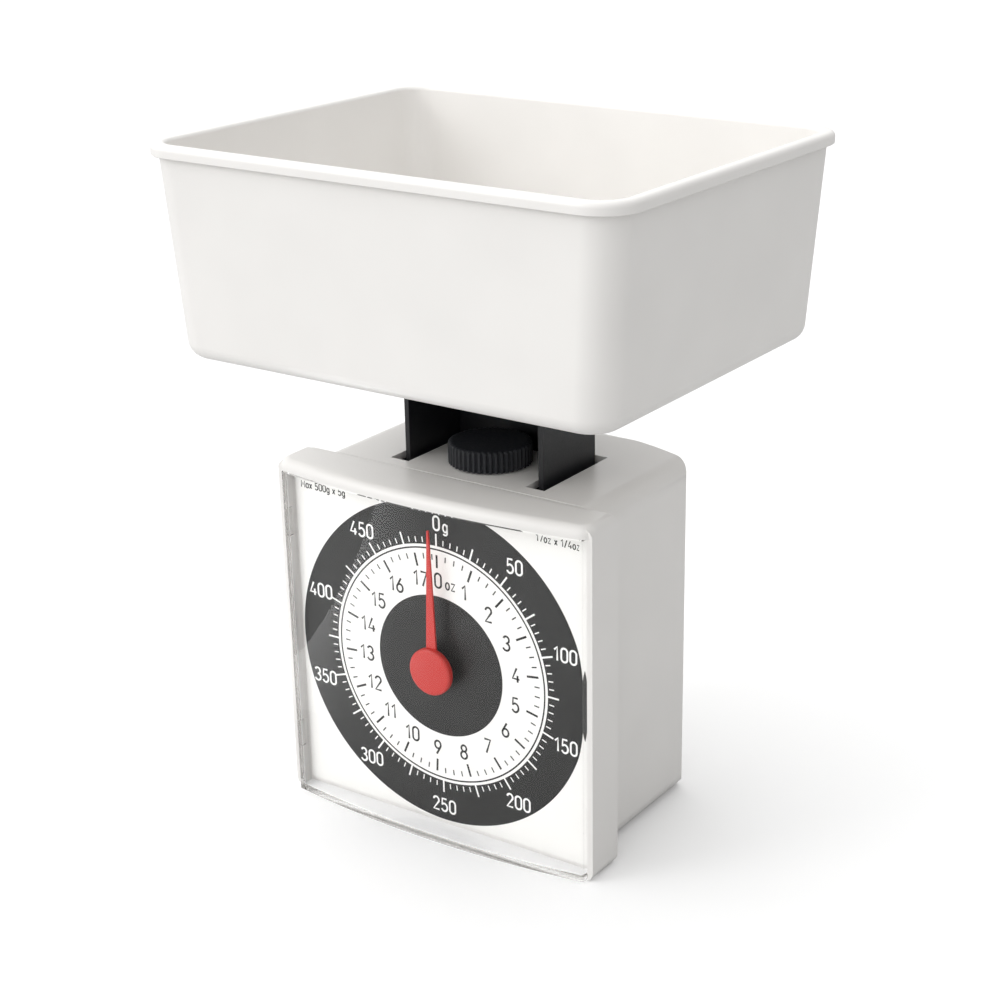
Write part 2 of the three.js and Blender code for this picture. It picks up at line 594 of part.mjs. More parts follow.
function mainSpring() {
  const { top, bottom, radius, wire, turns } = SPRING;
  const loopRadius = 2.2;
  const loopSteps = 9;
  const lead = loopRadius + 2.6;
  const perTurn = 8;
  // A loop lies in the YZ plane and turns through 300 degrees, open towards the coil.
  const loopPoint = (z, angle) =>
    new THREE.Vector3(0, loopRadius * Math.cos(angle), z + loopRadius * Math.sin(angle));
  const loopTurn = (5 / 3) * Math.PI;
  const points = [];
  const addLoop = (z, start) => {
    for (let i = 0; i <= loopSteps; i++) points.push(loopPoint(z, start - (loopTurn * i) / loopSteps));
  };
  addLoop(bottom, Math.PI / 3);
  for (let i = 0; i <= turns * perTurn; i++) {
    const angle = (2 * Math.PI * i) / perTurn - Math.PI / 2;
    const z = bottom + lead + ((top - bottom - 2 * lead) * i) / (turns * perTurn);
    points.push(new THREE.Vector3(radius * Math.cos(angle), radius * Math.sin(angle), z));
  }
  addLoop(top, (4 / 3) * Math.PI);
  const section = new THREE.Shape();
  section.absarc(0, 0, wire, 0, 2 * Math.PI);
  const coil = new THREE.ExtrudeGeometry(section, {
    steps: points.length + 2 * loopSteps,
    extrudePath: new THREE.CatmullRomCurve3(points),
    curveSegments: 3,
  });
  add("main_spring", "steel", coil).position.y = KNOB.y;
}

// Rear housing: a shell with a bowed back, rounded edges and a U-shaped slot for the carrier.

function planOutline(inset, front) {
  const half = BODY.halfWidth - inset;
  const back = BODY.back - inset;
  const radius = BODY_BACK.bowRadius - inset;
  const { corner } = BODY_BACK;
  const end = Math.acos((half - corner) / radius);
  const arcY = back - radius + radius * Math.sin(end);
  const shape = new THREE.Shape();
  shape.moveTo(-half, front);
  shape.lineTo(half, front);
  shape.lineTo(half, arcY - corner);
  shape.quadraticCurveTo(half, arcY - 1, half - corner, arcY);
  shape.absarc(0, back - radius, radius, end, Math.PI - end);
  shape.quadraticCurveTo(-half, arcY - 1, -half, arcY - corner);
  shape.closePath();
  return shape;
}

function housingForm(inset, front) {
  const { halfWidth, top, back, edge } = BODY;
  const rounding = Math.max(edge - inset, 1);
  const plan = extrude(planOutline(inset, front), top - 2 * inset, 8).translate(0, 0, inset);
  const section = roundedRect(-halfWidth + inset, halfWidth - inset, inset, top - inset, rounding);
  const backRounding = Math.max(BODY_BACK.edge - inset, 1);
  const side = roundedRect(front - 10, back - inset, inset, top - inset, backRounding);
  return solid(plan)
    .intersect(solid(facingFront(section, front - 1, back + 1, 6)))
    .intersect(solid(facingSide(side, -60, 60, 4)));
}

function carrierSlot() {
  const { inner, outer, front, webFront, back } = SLOT;
  const shape = new THREE.Shape();
  shape.moveTo(-outer, front);
  shape.lineTo(-inner, front);
  shape.lineTo(-inner, webFront);
  shape.lineTo(inner, webFront);
  shape.lineTo(inner, front);
  shape.lineTo(outer, front);
  shape.lineTo(outer, back);
  shape.lineTo(-outer, back);
  shape.closePath();
  return extrude(shape, 6).translate(0, 0, BODY.top - 4);
}

// Ribs under the top, one on each side, keep the spring's hanger from turning with the screw.
function hangerRib(side) {
  const span = [side * (HANGER.halfX + 0.4), side * (HANGER.halfX + 1.6)];
  const depth = [KNOB.y - HANGER.depth, KNOB.y + HANGER.depth];
  return block(Math.min(...span), Math.max(...span), ...depth, HANGER.plate - 2, BODY.top - BODY.wall + 0.5);
}

function rearHousing() {
  const { front, back, wall, top } = BODY;
  const { seat, post, headRadius, shankRadius } = BODY_SCREW;
  const within = housingForm(wall * 0.5, front);
  let shell = housingForm(0, front).subtract(housingForm(wall, front - 2));
  const join = (geometry) => {
    shell = shell.add(solid(geometry).intersect(within));
  };
  const drill = (geometry) => {
    shell = shell.subtract(solid(geometry));
  };
  for (const { x, z } of housingScrews()) {
    join(rodY(headRadius + 1.4, post + GAP, back + 5, x, z));
    drill(rodY(headRadius + GAP, seat, back + 5, x, z));
    drill(rodY(shankRadius + 0.2, post - 5, seat + 2, x, z));
  }
  for (const { x, z } of chassisFeet()) {
    join(rodY(3.4, CHASSIS.back + GAP, back + 5, x, z));
    drill(rodY(1.4, CHASSIS.back - 8, back - wall - 1.6, x, z));
  }
  join(hangerRib(-1));
  join(hangerRib(1));
  drill(carrierSlot());
  drill(rodZ(KNOB.stemRadius + GAP, top - 4, top + 1, 0, KNOB.y));
  add("rear_housing", "white", surface(shell));

  housingScrews().forEach(({ x, z }, index) => {
    const mesh = add(`housing_screw_${index + 1}`, "steel", screw(headRadius, 1.6, shankRadius, 16.0));
    mesh.rotation.x = -Math.PI / 2;
    mesh.position.set(x, seat + GAP + 1.6, z);
  });
}

function housingScrews() {
  return BODY_SCREW.heights.flatMap((z) => [-1, 1].map((side) => ({ x: side * BODY_SCREW.x, z })));
}

// Front bezel: a frame with a hood bowed over the lens, a panel behind the dial card, a spigot that fits
// the housing's mouth and posts for the housing screws.

// A plan outline between two bowed edges: front and back give [y at the sides, y in the middle].
function bowedPlan(halfWidth, front, back, corner) {
  const rise = ([ends, middle]) => Math.abs(ends - middle);
  const bowRadius = (bow, half) => (half * half + rise(bow) ** 2) / (2 * rise(bow));
  const frontHalf = halfWidth - corner;
  const frontRadius = bowRadius(front, frontHalf);
  const backRadius = bowRadius(back, halfWidth);
  const frontAngle = Math.asin(frontHalf / frontRadius);
  const backAngle = Math.asin(halfWidth / backRadius);
  const shape = new THREE.Shape();
  shape.absarc(0, front[1] + frontRadius, frontRadius, -Math.PI / 2 - frontAngle, -Math.PI / 2 + frontAngle);
  shape.quadraticCurveTo(halfWidth, front[0], halfWidth, front[0] + corner);
  shape.lineTo(halfWidth, back[0]);
  shape.absarc(0, back[1] + backRadius, backRadius, -Math.PI / 2 + backAngle, -Math.PI / 2 - backAngle, true);
  shape.lineTo(-halfWidth, front[0] + corner);
  shape.quadraticCurveTo(-halfWidth, front[0], -frontHalf, front[0]);
  shape.closePath();
  return shape;
}

// The hood's upper edges are rolled. It is drawn taller than it is, and its lower half is cut away.
function hood() {
  const { halfWidth, back } = BEZEL;
  const { bottom, top, bow, sideFront, roll } = HOOD;
  const frontEdge = [sideFront + roll, sideFront - bow + roll];
  const plan = bowedPlan(halfWidth - roll, frontEdge, [back - roll, back - 3], 2);
  const rolled = { bevelThickness: roll, bevelSize: roll, bevelSegments: 6, curveSegments: 8 };
  const body = new THREE.ExtrudeGeometry(plan, { depth: roll, ...rolled }).translate(0, 0, top - 2 * roll);
  return build([body], [block(-halfWidth - 5, halfWidth + 5, -50, 0, bottom - 10, bottom)]);
}

// The lens's snap tabs, two on each side. The bezel's sockets are the same blocks, grown by a clearance.
function snapTabs(grow) {
  const depth = [TAB.front - grow, TAB.back + grow];
  const halfHeight = TAB.halfHeight + grow;
  return [-1, 1].flatMap((side) => {
    const span = [side * (LENS.halfWidth - 0.5), side * (LENS.halfWidth + TAB.reach + grow)];
    const x = [Math.min(...span), Math.max(...span)];
    const heights = [DIAL_Z - TAB.rise, DIAL_Z + TAB.rise];
    return heights.map((z) => block(...x, ...depth, z - halfHeight, z + halfHeight));
  });
}

function frontBezel() {
  const { halfWidth, front, back, wall, corner } = BEZEL;
  const inner = halfWidth - wall;
  const panelFront = DIAL_Y + DIAL_CARD.thickness + GAP;
  const panelBack = panelFront + wall;
  const spigotHalf = BODY.halfWidth - BODY.wall - 0.4;
  const spigotBottom = BODY.wall + 0.4;
  const spigotTop = BODY.top - BODY.wall - 0.4;
  const spigotRound = BODY.edge - BODY.wall;
  const spigot = roundedRect(-spigotHalf, spigotHalf, spigotBottom, spigotTop, spigotRound);
  const mouth = roundedRect(
    -spigotHalf + wall, spigotHalf - wall, spigotBottom + wall, spigotTop - wall, spigotRound - wall,
  );
  const joined = [
    facingFront(roundedRect(-halfWidth, halfWidth, 0, BODY.top, corner), front, back, 5),
    hood(),
    facingFront(spigot, back - 0.5, -15),
  ];
  const cut = [
    block(-inner, inner, -40, panelFront, -5, HOOD.bottom),
    block(-inner, inner, panelBack, back - wall, wall, BODY.top - wall),
    facingFront(mouth, back - wall - 1, 0),
    rodY(2.2, -30, -20, 0, DIAL_Z),
    ...snapTabs(TAB.clearance),
  ];
  const posts = housingScrews().map(({ x, z }) => rodY(3.2, panelBack - 0.5, BODY_SCREW.post, x, z));
  const bores = housingScrews().map(({ x, z }) => rodY(BODY_SCREW.shankRadius + RUNNING_FIT, -4, 7, x, z));
  const frame = build(joined, cut);
  add("front_bezel", "white", build([frame, ...posts], bores));
}

// Lens: a bowed front with side walls and a floor, held by four snap tabs. Its top slides under the hood.
function lens() {
  const { halfWidth, bottom, top, wall, back, bow } = LENS;
  const middle = HOOD.sideFront - HOOD.bow + 0.1;
  const sides = middle + bow;
  const outer = bowedPlan(halfWidth, [sides, middle], [back, back - 0.01], 1.2);
  const hollow = bowedPlan(halfWidth - wall, [sides + wall, middle + wall], [back + 5, back + 4.99], 0.6);
  const walls = extrude(outer, top - bottom, 12).translate(0, 0, bottom);
  const space = extrude(hollow, top, 12).translate(0, 0, bottom + wall);
  add("lens", "clear", build([walls, ...snapTabs(0)], [space]));
}

function dialCard() {
  const { halfWidth, bottom, top, thickness } = DIAL_CARD;
  const card = roundedRect(-halfWidth, halfWidth, bottom, top, 1);
  const sheet = facingFront(card, DIAL_Y, DIAL_Y + thickness);
  add("dial_card", "card", build([sheet], [rodY(1.7, DIAL_Y - 1, DIAL_Y + 2, 0, DIAL_Z)]));
}

bowl();
platform();
carrier();
links();
chassis();
bearings();
pinion();
rack();
spindle();
pointer();
zeroKnob();
zeroAdjuster();
springHanger();
mainSpring();
rearHousing();
frontBezel();
lens();
dialCard();

export default scale;
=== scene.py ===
"""Kitchen scale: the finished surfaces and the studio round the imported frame.

Laid out as an add-on and run as a script. New pieces are drawn in millimetres, and finish_piece
brings them to metres with their place in their mesh.
"""

import json
from math import cos, pi, radians, sin, tau

import bmesh
import bpy
from mathutils import Matrix, Vector


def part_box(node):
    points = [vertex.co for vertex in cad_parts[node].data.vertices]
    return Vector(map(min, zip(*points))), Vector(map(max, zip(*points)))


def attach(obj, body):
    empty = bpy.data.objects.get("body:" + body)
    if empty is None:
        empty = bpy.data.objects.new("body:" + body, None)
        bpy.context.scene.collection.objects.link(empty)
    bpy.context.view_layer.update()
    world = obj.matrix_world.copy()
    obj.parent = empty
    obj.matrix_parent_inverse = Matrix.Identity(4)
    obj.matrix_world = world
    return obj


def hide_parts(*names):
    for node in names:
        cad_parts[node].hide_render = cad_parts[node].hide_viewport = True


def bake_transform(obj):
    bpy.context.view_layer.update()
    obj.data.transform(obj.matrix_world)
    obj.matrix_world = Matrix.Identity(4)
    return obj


bl_info = {
    "name": "Kitchen scale",
    "version": (1, 0, 0),
    "blender": (4, 5, 0),
    "location": "View3D > Sidebar > Kitchen scale",
    "description": "Builds the surfaces, finishes and studio of a mechanical kitchen scale on its frame",
    "category": "Object",
}

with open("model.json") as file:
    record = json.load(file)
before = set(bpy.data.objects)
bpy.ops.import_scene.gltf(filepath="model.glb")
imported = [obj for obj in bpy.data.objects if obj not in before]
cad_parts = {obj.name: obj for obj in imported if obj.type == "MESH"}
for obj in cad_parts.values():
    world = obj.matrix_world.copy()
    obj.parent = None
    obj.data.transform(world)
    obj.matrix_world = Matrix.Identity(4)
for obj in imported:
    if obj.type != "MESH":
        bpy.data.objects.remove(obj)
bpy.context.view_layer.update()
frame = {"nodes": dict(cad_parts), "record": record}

MM = 0.001


def srgb(code):
    """Linear colour, with alpha 1, of an sRGB hex code such as F2F0ED."""
    channels = [int(code[i : i + 2], 16) / 255 for i in (0, 2, 4)]
    linear = [c / 12.92 if c <= 0.04045 else ((c + 0.055) / 1.055) ** 2.4 for c in channels]
    return (*linear, 1.0)


def box_mm(node):
    """Lowest and highest corners of a frame node at rest, in millimetres."""
    low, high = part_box(node)
    return Vector(low) / MM, Vector(high) / MM


# The frame's places that several pieces share, in millimetres.
CARD_FRONT = box_mm("dial_card")[0].y
DIAL_HEIGHT = sum(c.z for c in box_mm("pinion")) / 2
KNOB_LOW, KNOB_HIGH = box_mm("zero_knob")
BOWL_LOW, BOWL_HIGH = box_mm("bowl")

# Drawing plane of the dial: x to the right, y up, z out of the card towards the reader.
ON_DIAL = Matrix.Translation((0, CARD_FRONT, DIAL_HEIGHT)) @ Matrix.Rotation(pi / 2, 4, "X")


# Settings


def length(name, description, millimetres):
    return bpy.props.FloatProperty(
        name=name, description=description, default=millimetres * MM, unit="LENGTH", precision=5
    )


def amount(name, description, value, **unit):
    return bpy.props.FloatProperty(name=name, description=description, default=value, **unit)


def whole_number(name, description, value):
    return bpy.props.IntProperty(name=name, description=description, default=value)


def colour(name, description, code):
    return bpy.props.FloatVectorProperty(
        name=name, description=description, subtype="COLOR", size=4, min=0, max=1, default=srgb(code)
    )


class DialSettings(bpy.types.PropertyGroup):
    full_turn: whole_number("Full turn", "Grams shown by one turn of the pointer", 500)
    number_step: whole_number("Number step", "Grams between two numbers of the outer ring", 50)
    tick_step: whole_number("Tick step", "Grams between two short ticks of the outer ring", 5)
    ring_inner: length("Ring inner radius", "Inner radius of the black gram ring", 31.2)
    ring_outer: length("Ring outer radius", "Outer radius of the black gram ring", 42.0)
    ring_flat: length("Ring flat", "Height above the centre where the ring is cut off straight", 39.6)
    disc: length("Disc radius", "Radius of the black disc in the middle", 18.3)
    circle: length("Circle radius", "Radius of the fine circle round the ounce ticks", 30.3)
    number_height: length("Number height", "Height of the gram and ounce numbers", 3.65)
    stroke: length("Stroke", "Width of the numbers' strokes", 0.52)


class BowlSettings(bpy.types.PropertyGroup):
    wall: length("Wall", "Thickness of the bowl's wall", 1.8)
    foot_round: length("Foot rounding", "Outer radius between the bowl's floor and wall", 3.8)
    corner: length("Corner", "Upright corner radius of the bowl's wall", 8.0)
    lip_round: length("Lip rounding", "Radius of the lip's upper outer edge", 1.3)


class KnobSettings(bpy.types.PropertyGroup):
    ribs: whole_number("Ribs", "Upright ribs round the zero knob", 46)
    rib_depth: length("Rib depth", "Depth of the grooves between the ribs", 0.55)
    crown: length("Crown", "Height of the rounded edge above the ribs", 0.6)


class FinishSettings(bpy.types.PropertyGroup):
    white: colour("White", "Moulded polystyrene of the bowl, housing and bezel", "F3F1EE")
    black: colour("Black", "Moulded ABS of the carrier and platform", "1D1E21")
    knob: colour("Knob", "Moulded ABS of the zero knob", "24262B")
    pointer: colour("Pointer", "Moulded ABS of the pointer", "C62F28")
    card: colour("Card", "Coated board of the dial", "F6F5F2")
    dark_ink: colour("Dark ink", "Ink of the ring, the disc and the ounce scale", "1C1C1B")
    white_ink: colour("White ink", "Ink of the gram scale", "F5F5F3")


class StudioSettings(bpy.types.PropertyGroup):
    key_power: amount("Key power", "Power of the soft light from the front left", 2.2, unit="POWER")
    top_power: amount("Top power", "Power of the soft light overhead", 0.7, unit="POWER")
    surround: amount("Surround", "Strength of the light from all round", 0.88)
    slant: amount("Slant", "How much brighter the surround is at the upper left than the right", 0.69)
    sheen_power: amount("Sheen power", "Power of the light that draws the lens's sheen", 0.16, unit="POWER")


class ScaleSettings(bpy.types.PropertyGroup):
    dial: bpy.props.PointerProperty(name="Dial", description="Print on the dial card", type=DialSettings)
    bowl: bpy.props.PointerProperty(name="Bowl", description="Shape of the bowl", type=BowlSettings)
    knob: bpy.props.PointerProperty(name="Knob", description="Shape of the zero knob", type=KnobSettings)
    finish: bpy.props.PointerProperty(name="Finish", description="Colours", type=FinishSettings)
    studio: bpy.props.PointerProperty(name="Studio", description="Lights", type=StudioSettings)


# Materials


def add_node(tree, kind, inputs=None, **settings):
    """Adds one node: settings are its own fields, inputs maps a socket to a value or to another's output."""
    node = tree.nodes.new(kind)
    for field, value in settings.items():
        setattr(node, field, value)
    for socket, value in (inputs or {}).items():
        if isinstance(value, bpy.types.NodeSocket):
            tree.links.new(value, node.inputs[socket])
        else:
            node.inputs[socket].default_value = value
    return node


def new_material(name):
    """An empty node material and its tree."""
    material = bpy.data.materials.new(name)
    material.use_nodes = True
    material.node_tree.nodes.clear()
    return material, material.node_tree


def finished_surface(name, colours, roughness, grain, relief, stretch=(1, 1, 1), detail=2.0, **shader):
    """A surface whose colour, roughness and height vary with one noise.

    grain is the size of its marks and relief their height, both in millimetres. stretch draws the
    marks out along an axis, as a brush or a cutting tool does. shader holds the shader's own sockets.
    """
    material, tree = new_material(name)
    place = add_node(tree, "ShaderNodeTexCoord")
    mapping = add_node(tree, "ShaderNodeMapping", {"Vector": place.outputs["Object"], "Scale": stretch})
    noise = add_node(
        tree, "ShaderNodeTexNoise",
        {"Vector": mapping.outputs[0], "Scale": 1 / (grain * MM), "Detail": detail, "Roughness": 0.55},
    )
    broad = add_node(
        tree, "ShaderNodeTexNoise", {"Vector": place.outputs["Object"], "Scale": 1 / (18 * MM), "Detail": 1.0}
    )
    tint = add_node(tree, "ShaderNodeValToRGB", {"Fac": broad.outputs["Fac"]})
    tint.color_ramp.elements[0].position = 0.3
    tint.color_ramp.elements[1].position = 0.7
    tint.color_ramp.elements[0].color, tint.color_ramp.elements[1].color = colours
    gloss = add_node(
        tree, "ShaderNodeMapRange",
        {"Value": noise.outputs["Fac"], "From Min": 0.3, "From Max": 0.7,
         "To Min": roughness[0], "To Max": roughness[1]},
    )
    bump = add_node(
        tree, "ShaderNodeBump", {"Height": noise.outputs["Fac"], "Strength": 1.0, "Distance": relief * MM}
    )
    sockets = {key.replace("_", " ").title().replace("Ior", "IOR"): value for key, value in shader.items()}
    surface = add_node(
        tree, "ShaderNodeBsdfPrincipled",
        {"Base Color": tint.outputs["Color"], "Roughness": gloss.outputs["Result"],
         "Normal": bump.outputs["Normal"], **sockets},
    )
    add_node(tree, "ShaderNodeOutputMaterial", {"Surface": surface.outputs[0]})
    return material


def shaded(tone, factor):
    """A colour scaled by factor, for the darker parts of a finish."""
    return (*(min(1.0, c * factor) for c in tone[:3]), 1.0)


def clear_polystyrene():
    """Crystal polystyrene, polished mould: colourless, water-clear, a sharp reflection on its bow."""
    material, tree = new_material("clear_polystyrene")
    place = add_node(tree, "ShaderNodeTexCoord")
    waves = add_node(
        tree, "ShaderNodeTexNoise", {"Vector": place.outputs["Object"], "Scale": 1 / (22 * MM), "Detail": 0.0}
    )
    # The slow waves of a moulded sheet, 22 mm apart, bend the reflections a little.
    bump = add_node(
        tree, "ShaderNodeBump", {"Height": waves.outputs["Fac"], "Strength": 0.5, "Distance": 0.05 * MM}
    )
    glass = add_node(
        tree, "ShaderNodeBsdfPrincipled",
        {"Base Color": srgb("FFFFFF"), "Roughness": 0.03, "IOR": 1.16, "Transmission Weight": 1.0,
         "Normal": bump.outputs["Normal"]},
    )
    # Light from the lamps reaches the dial straight through the lens.
    passing = add_node(tree, "ShaderNodeBsdfTransparent", {"Color": srgb("FFFFFF")})
    ray = add_node(tree, "ShaderNodeLightPath")
    mixed = add_node(
        tree, "ShaderNodeMixShader",
        {0: ray.outputs["Is Shadow Ray"], 1: glass.outputs[0], 2: passing.outputs[0]},
    )
    add_node(tree, "ShaderNodeOutputMaterial", {"Surface": mixed.outputs[0]})
    return material


def make_materials(finish):
    """Every finish of the scale by its short name."""
    white, black, knob = finish.white, finish.black, finish.knob
    return {
        # Polystyrene from a polished mould: semi-gloss, with a faint orange peel 1.6 mm across.
        "white": finished_surface(
            "moulded_polystyrene", (shaded(white, 0.975), white), (0.285, 0.33), 1.6, 0.0008, ior=1.5
        ),
        # ABS from a spark-eroded mould: an even satin black with a 0.35 mm texture.
        "black": finished_surface(
            "satin_abs", (shaded(black, 0.85), black), (0.38, 0.5), 0.35, 0.012, ior=1.5
        ),
        # The knob's ABS is matt, so that wet fingers hold it: a coarser 0.5 mm texture.
        "knob": finished_surface(
            "matt_abs", (shaded(knob, 0.85), knob), (0.5, 0.64), 0.5, 0.02, ior=1.5
        ),
        "clear": clear_polystyrene(),
        # Coated board: bright and nearly flat, with fibres 0.5 mm long that just show in its gloss.
        "card": finished_surface(
            "coated_board", (shaded(finish.card, 0.98), finish.card), (0.45, 0.6), 0.5, 0.004, ior=1.45
        ),
        # Offset ink: a thin even film, a little glossier than the board.
        "dark_ink": finished_surface(
            "dark_offset_ink", (shaded(finish.dark_ink, 0.9), finish.dark_ink), (0.35, 0.5), 0.5, 0.003,
            ior=1.45,
        ),
        "white_ink": finished_surface(
            "white_offset_ink", (shaded(finish.white_ink, 0.97), finish.white_ink), (0.35, 0.5), 0.5, 0.003,
            ior=1.45,
        ),
        # Signal-red ABS, satin mould, 0.6 mm texture.
        "red": finished_surface(
            "red_abs", (shaded(finish.pointer, 0.9), finish.pointer), (0.36, 0.46), 0.6, 0.008, ior=1.5
        ),
        # Cold-rolled sheet, zinc plated: a cool grey with cloudy gloss and rolling marks 0.8 mm wide.
        "sheet": finished_surface(
            "zinc_plated_sheet", (srgb("A9AEB2"), srgb("C3C7CA")), (0.29, 0.44), 0.8, 0.004,
            stretch=(1, 1, 0.12), detail=4.0, metallic=1.0,
        ),
        # Screws and pins, zinc plated after turning: brighter, with fine tool marks 0.3 mm apart.
        "screw": finished_surface(
            "zinc_plated_steel", (srgb("B4B8BA"), srgb("CDD0D1")), (0.29, 0.38), 0.3, 0.003, metallic=1.0
        ),
        # Hard-drawn spring wire, oiled: dark bright steel with draw marks along the wire.
        "wire": finished_surface(
            "drawn_spring_wire", (srgb("85888B"), srgb("A1A4A6")), (0.29, 0.38), 0.4, 0.003, metallic=1.0
        ),
        # Free-cutting brass: warm yellow with turning rings 0.25 mm apart.
        "brass": finished_surface(
            "turned_brass", (srgb("B8974A"), srgb("CDAE62")), (0.29, 0.38), 0.25, 0.004,
            stretch=(0.2, 1, 0.2), metallic=1.0,
        ),
        # Natural acetal: waxy off-white, faintly translucent.
        "acetal": finished_surface(
            "natural_acetal", (srgb("E0DDD3"), srgb("E9E6DE")), (0.36, 0.46), 0.7, 0.005,
            ior=1.48, subsurface_weight=0.15, subsurface_scale=0.002,
        ),
    }


MATERIALS = {}


def finish_of(context, name):
    """A finish by its short name. All are made when the first is asked for."""
    if not MATERIALS:
        MATERIALS.update(make_materials(context.scene.kitchen_scale.finish))
    return MATERIALS[name]


# Shaping


def arc_steps(steps, start=1):
    """Angles of a quarter turn in equal steps."""
    return [pi / 2 * i / steps for i in range(start, steps + 1)]


def edges_of(corners):
    """The edges at some corners, each once and in the same order every run, as a set would not give."""
    return list(dict.fromkeys(edge for corner in corners for edge in corner.link_edges))


def at_radius(radius, height):
    """A move of each corner straight out from the z axis to a radius, at a height."""
    return lambda co: Vector((*(co.xy.normalized() * radius), height))


def grow(bm, edges, place):
    """Extrudes a loop of edges once, moves each new corner to place(corner) and returns the new loop."""
    made = bmesh.ops.extrude_edge_only(bm, edges=edges)["geom"]
    corners = {item for item in made if isinstance(item, bmesh.types.BMVert)}
    for corner in corners:
        corner.co = place(corner.co)
    return [item for item in made if isinstance(item, bmesh.types.BMEdge) and corners.issuperset(item.verts)]


def turned(bm, stations, segments=48):
    """A closed turned body along z from stations of (radius, height)."""
    first = bmesh.ops.create_circle(
        bm, cap_ends=True, radius=stations[0][0], segments=segments,
        matrix=Matrix.Translation((0, 0, stations[0][1])),
    )["verts"]
    loop = edges_of(first)
    for radius, height in stations[1:]:
        loop = grow(bm, loop, at_radius(radius, height))
    bmesh.ops.contextual_create(bm, geom=loop)


def rectangle(bm, place, half_x, half_y, rows=1):
    """A flat rectangle in the plane of place. Returns its corners."""
    return bmesh.ops.create_grid(
        bm, x_segments=1, y_segments=rows, size=1, matrix=place @ Matrix.Diagonal((half_x, half_y, 1, 1))
    )["verts"]


def round_off(bm, geom, radius, segments, affect="EDGES"):
    """Rounds edges, or the corners of a flat face."""
    bmesh.ops.bevel(
        bm, geom=geom, offset=radius, offset_type="OFFSET", segments=segments, profile=0.5,
        affect=affect, material=-1,
    )


def add_object(context, name, data):
    """A new object in the scene."""
    made = bpy.data.objects.new(name, data)
    context.scene.collection.objects.link(made)
    return made


def rounded_plate(bm, half_x, half_y, corner, height, segments=12):
    """A flat rounded rectangle centred on z."""
    corners = rectangle(bm, Matrix.Translation((0, 0, height)), half_x, half_y)
    round_off(bm, corners, corner, segments, "VERTICES")


def raise_faces(bm, faces, height):
    """Extrudes flat faces by height along z."""
    made = bmesh.ops.extrude_face_region(bm, geom=faces)["geom"]
    corners = [item for item in made if isinstance(item, bmesh.types.BMVert)]
    bmesh.ops.translate(bm, vec=(0, 0, height), verts=corners)


def finish_piece(context, bm, name, body, finish, stands_for=(), place=None, crease=34, soft_edge=0.0):
    """Turns a bmesh into a piece of the scale that rides on a body.

    place moves a shape drawn in millimetres to its spot; without it the mesh is in metres already.
    soft_edge is the width of a small bevel on its sharp edges, in millimetres.
    """
    if place is not None:
        bmesh.ops.remove_doubles(bm, verts=bm.verts, dist=1e-5)
        bmesh.ops.recalc_face_normals(bm, faces=bm.faces)
        bmesh.ops.transform(bm, matrix=Matrix.Scale(MM, 4) @ place, verts=bm.verts)
    for face in bm.faces:
        face.smooth = True
    for edge in bm.edges:
        edge.smooth = edge.calc_face_angle(pi) < radians(crease)
    mesh = bpy.data.meshes.new(name)
    bm.to_mesh(mesh)
    bm.free()
    mesh.materials.append(finish_of(context, finish))
    piece = add_object(context, name, mesh)
    if soft_edge:
        bevel = piece.modifiers.new("soft_edge", "BEVEL")
        bevel.limit_method = "ANGLE"
        bevel.angle_limit = radians(40)
        bevel.width = soft_edge * MM
        bevel.segments = 2
    weighted = piece.modifiers.new("even_shading", "WEIGHTED_NORMAL")
    weighted.keep_sharp = True
    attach(piece, body)
    if stands_for:
        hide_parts(*stands_for)
    return piece


def body_of(node):
    """Name of the body that a frame node rides on."""
    bodies = frame["record"]["behaviour"]["bodies"]
    return next(body for body, nodes in bodies.items() if node in nodes)


def finished_copy(context, node, finish, soft_edge=0.0, rolled=None):
    """A frame node's own shape as a merged, smoothly shaded piece in its place.

    rolled picks edges that get a rounding of 1.3 mm.
    """
    bm = bmesh.new()
    bm.from_mesh(frame["nodes"][node].data)
    bmesh.ops.remove_doubles(bm, verts=bm.verts, dist=1.5e-6)
    bmesh.ops.dissolve_limit(bm, angle_limit=radians(0.5), verts=bm.verts, edges=bm.edges)
    if rolled:
        sharp = [edge for edge in bm.edges if rolled(edge) and edge.calc_face_angle(0) > radians(60)]
        round_off(bm, sharp, 1.3 * MM, 5)
    return finish_piece(
        context, bm, node + "_finished", body_of(node), finish, stands_for=[node], soft_edge=soft_edge
    )


# Lettering: each glyph is (width, strokes) on a height of 0.87. A stroke is a list of points (x, y)
# and arcs (centre x, centre y, radius x, radius y, first angle, last angle).

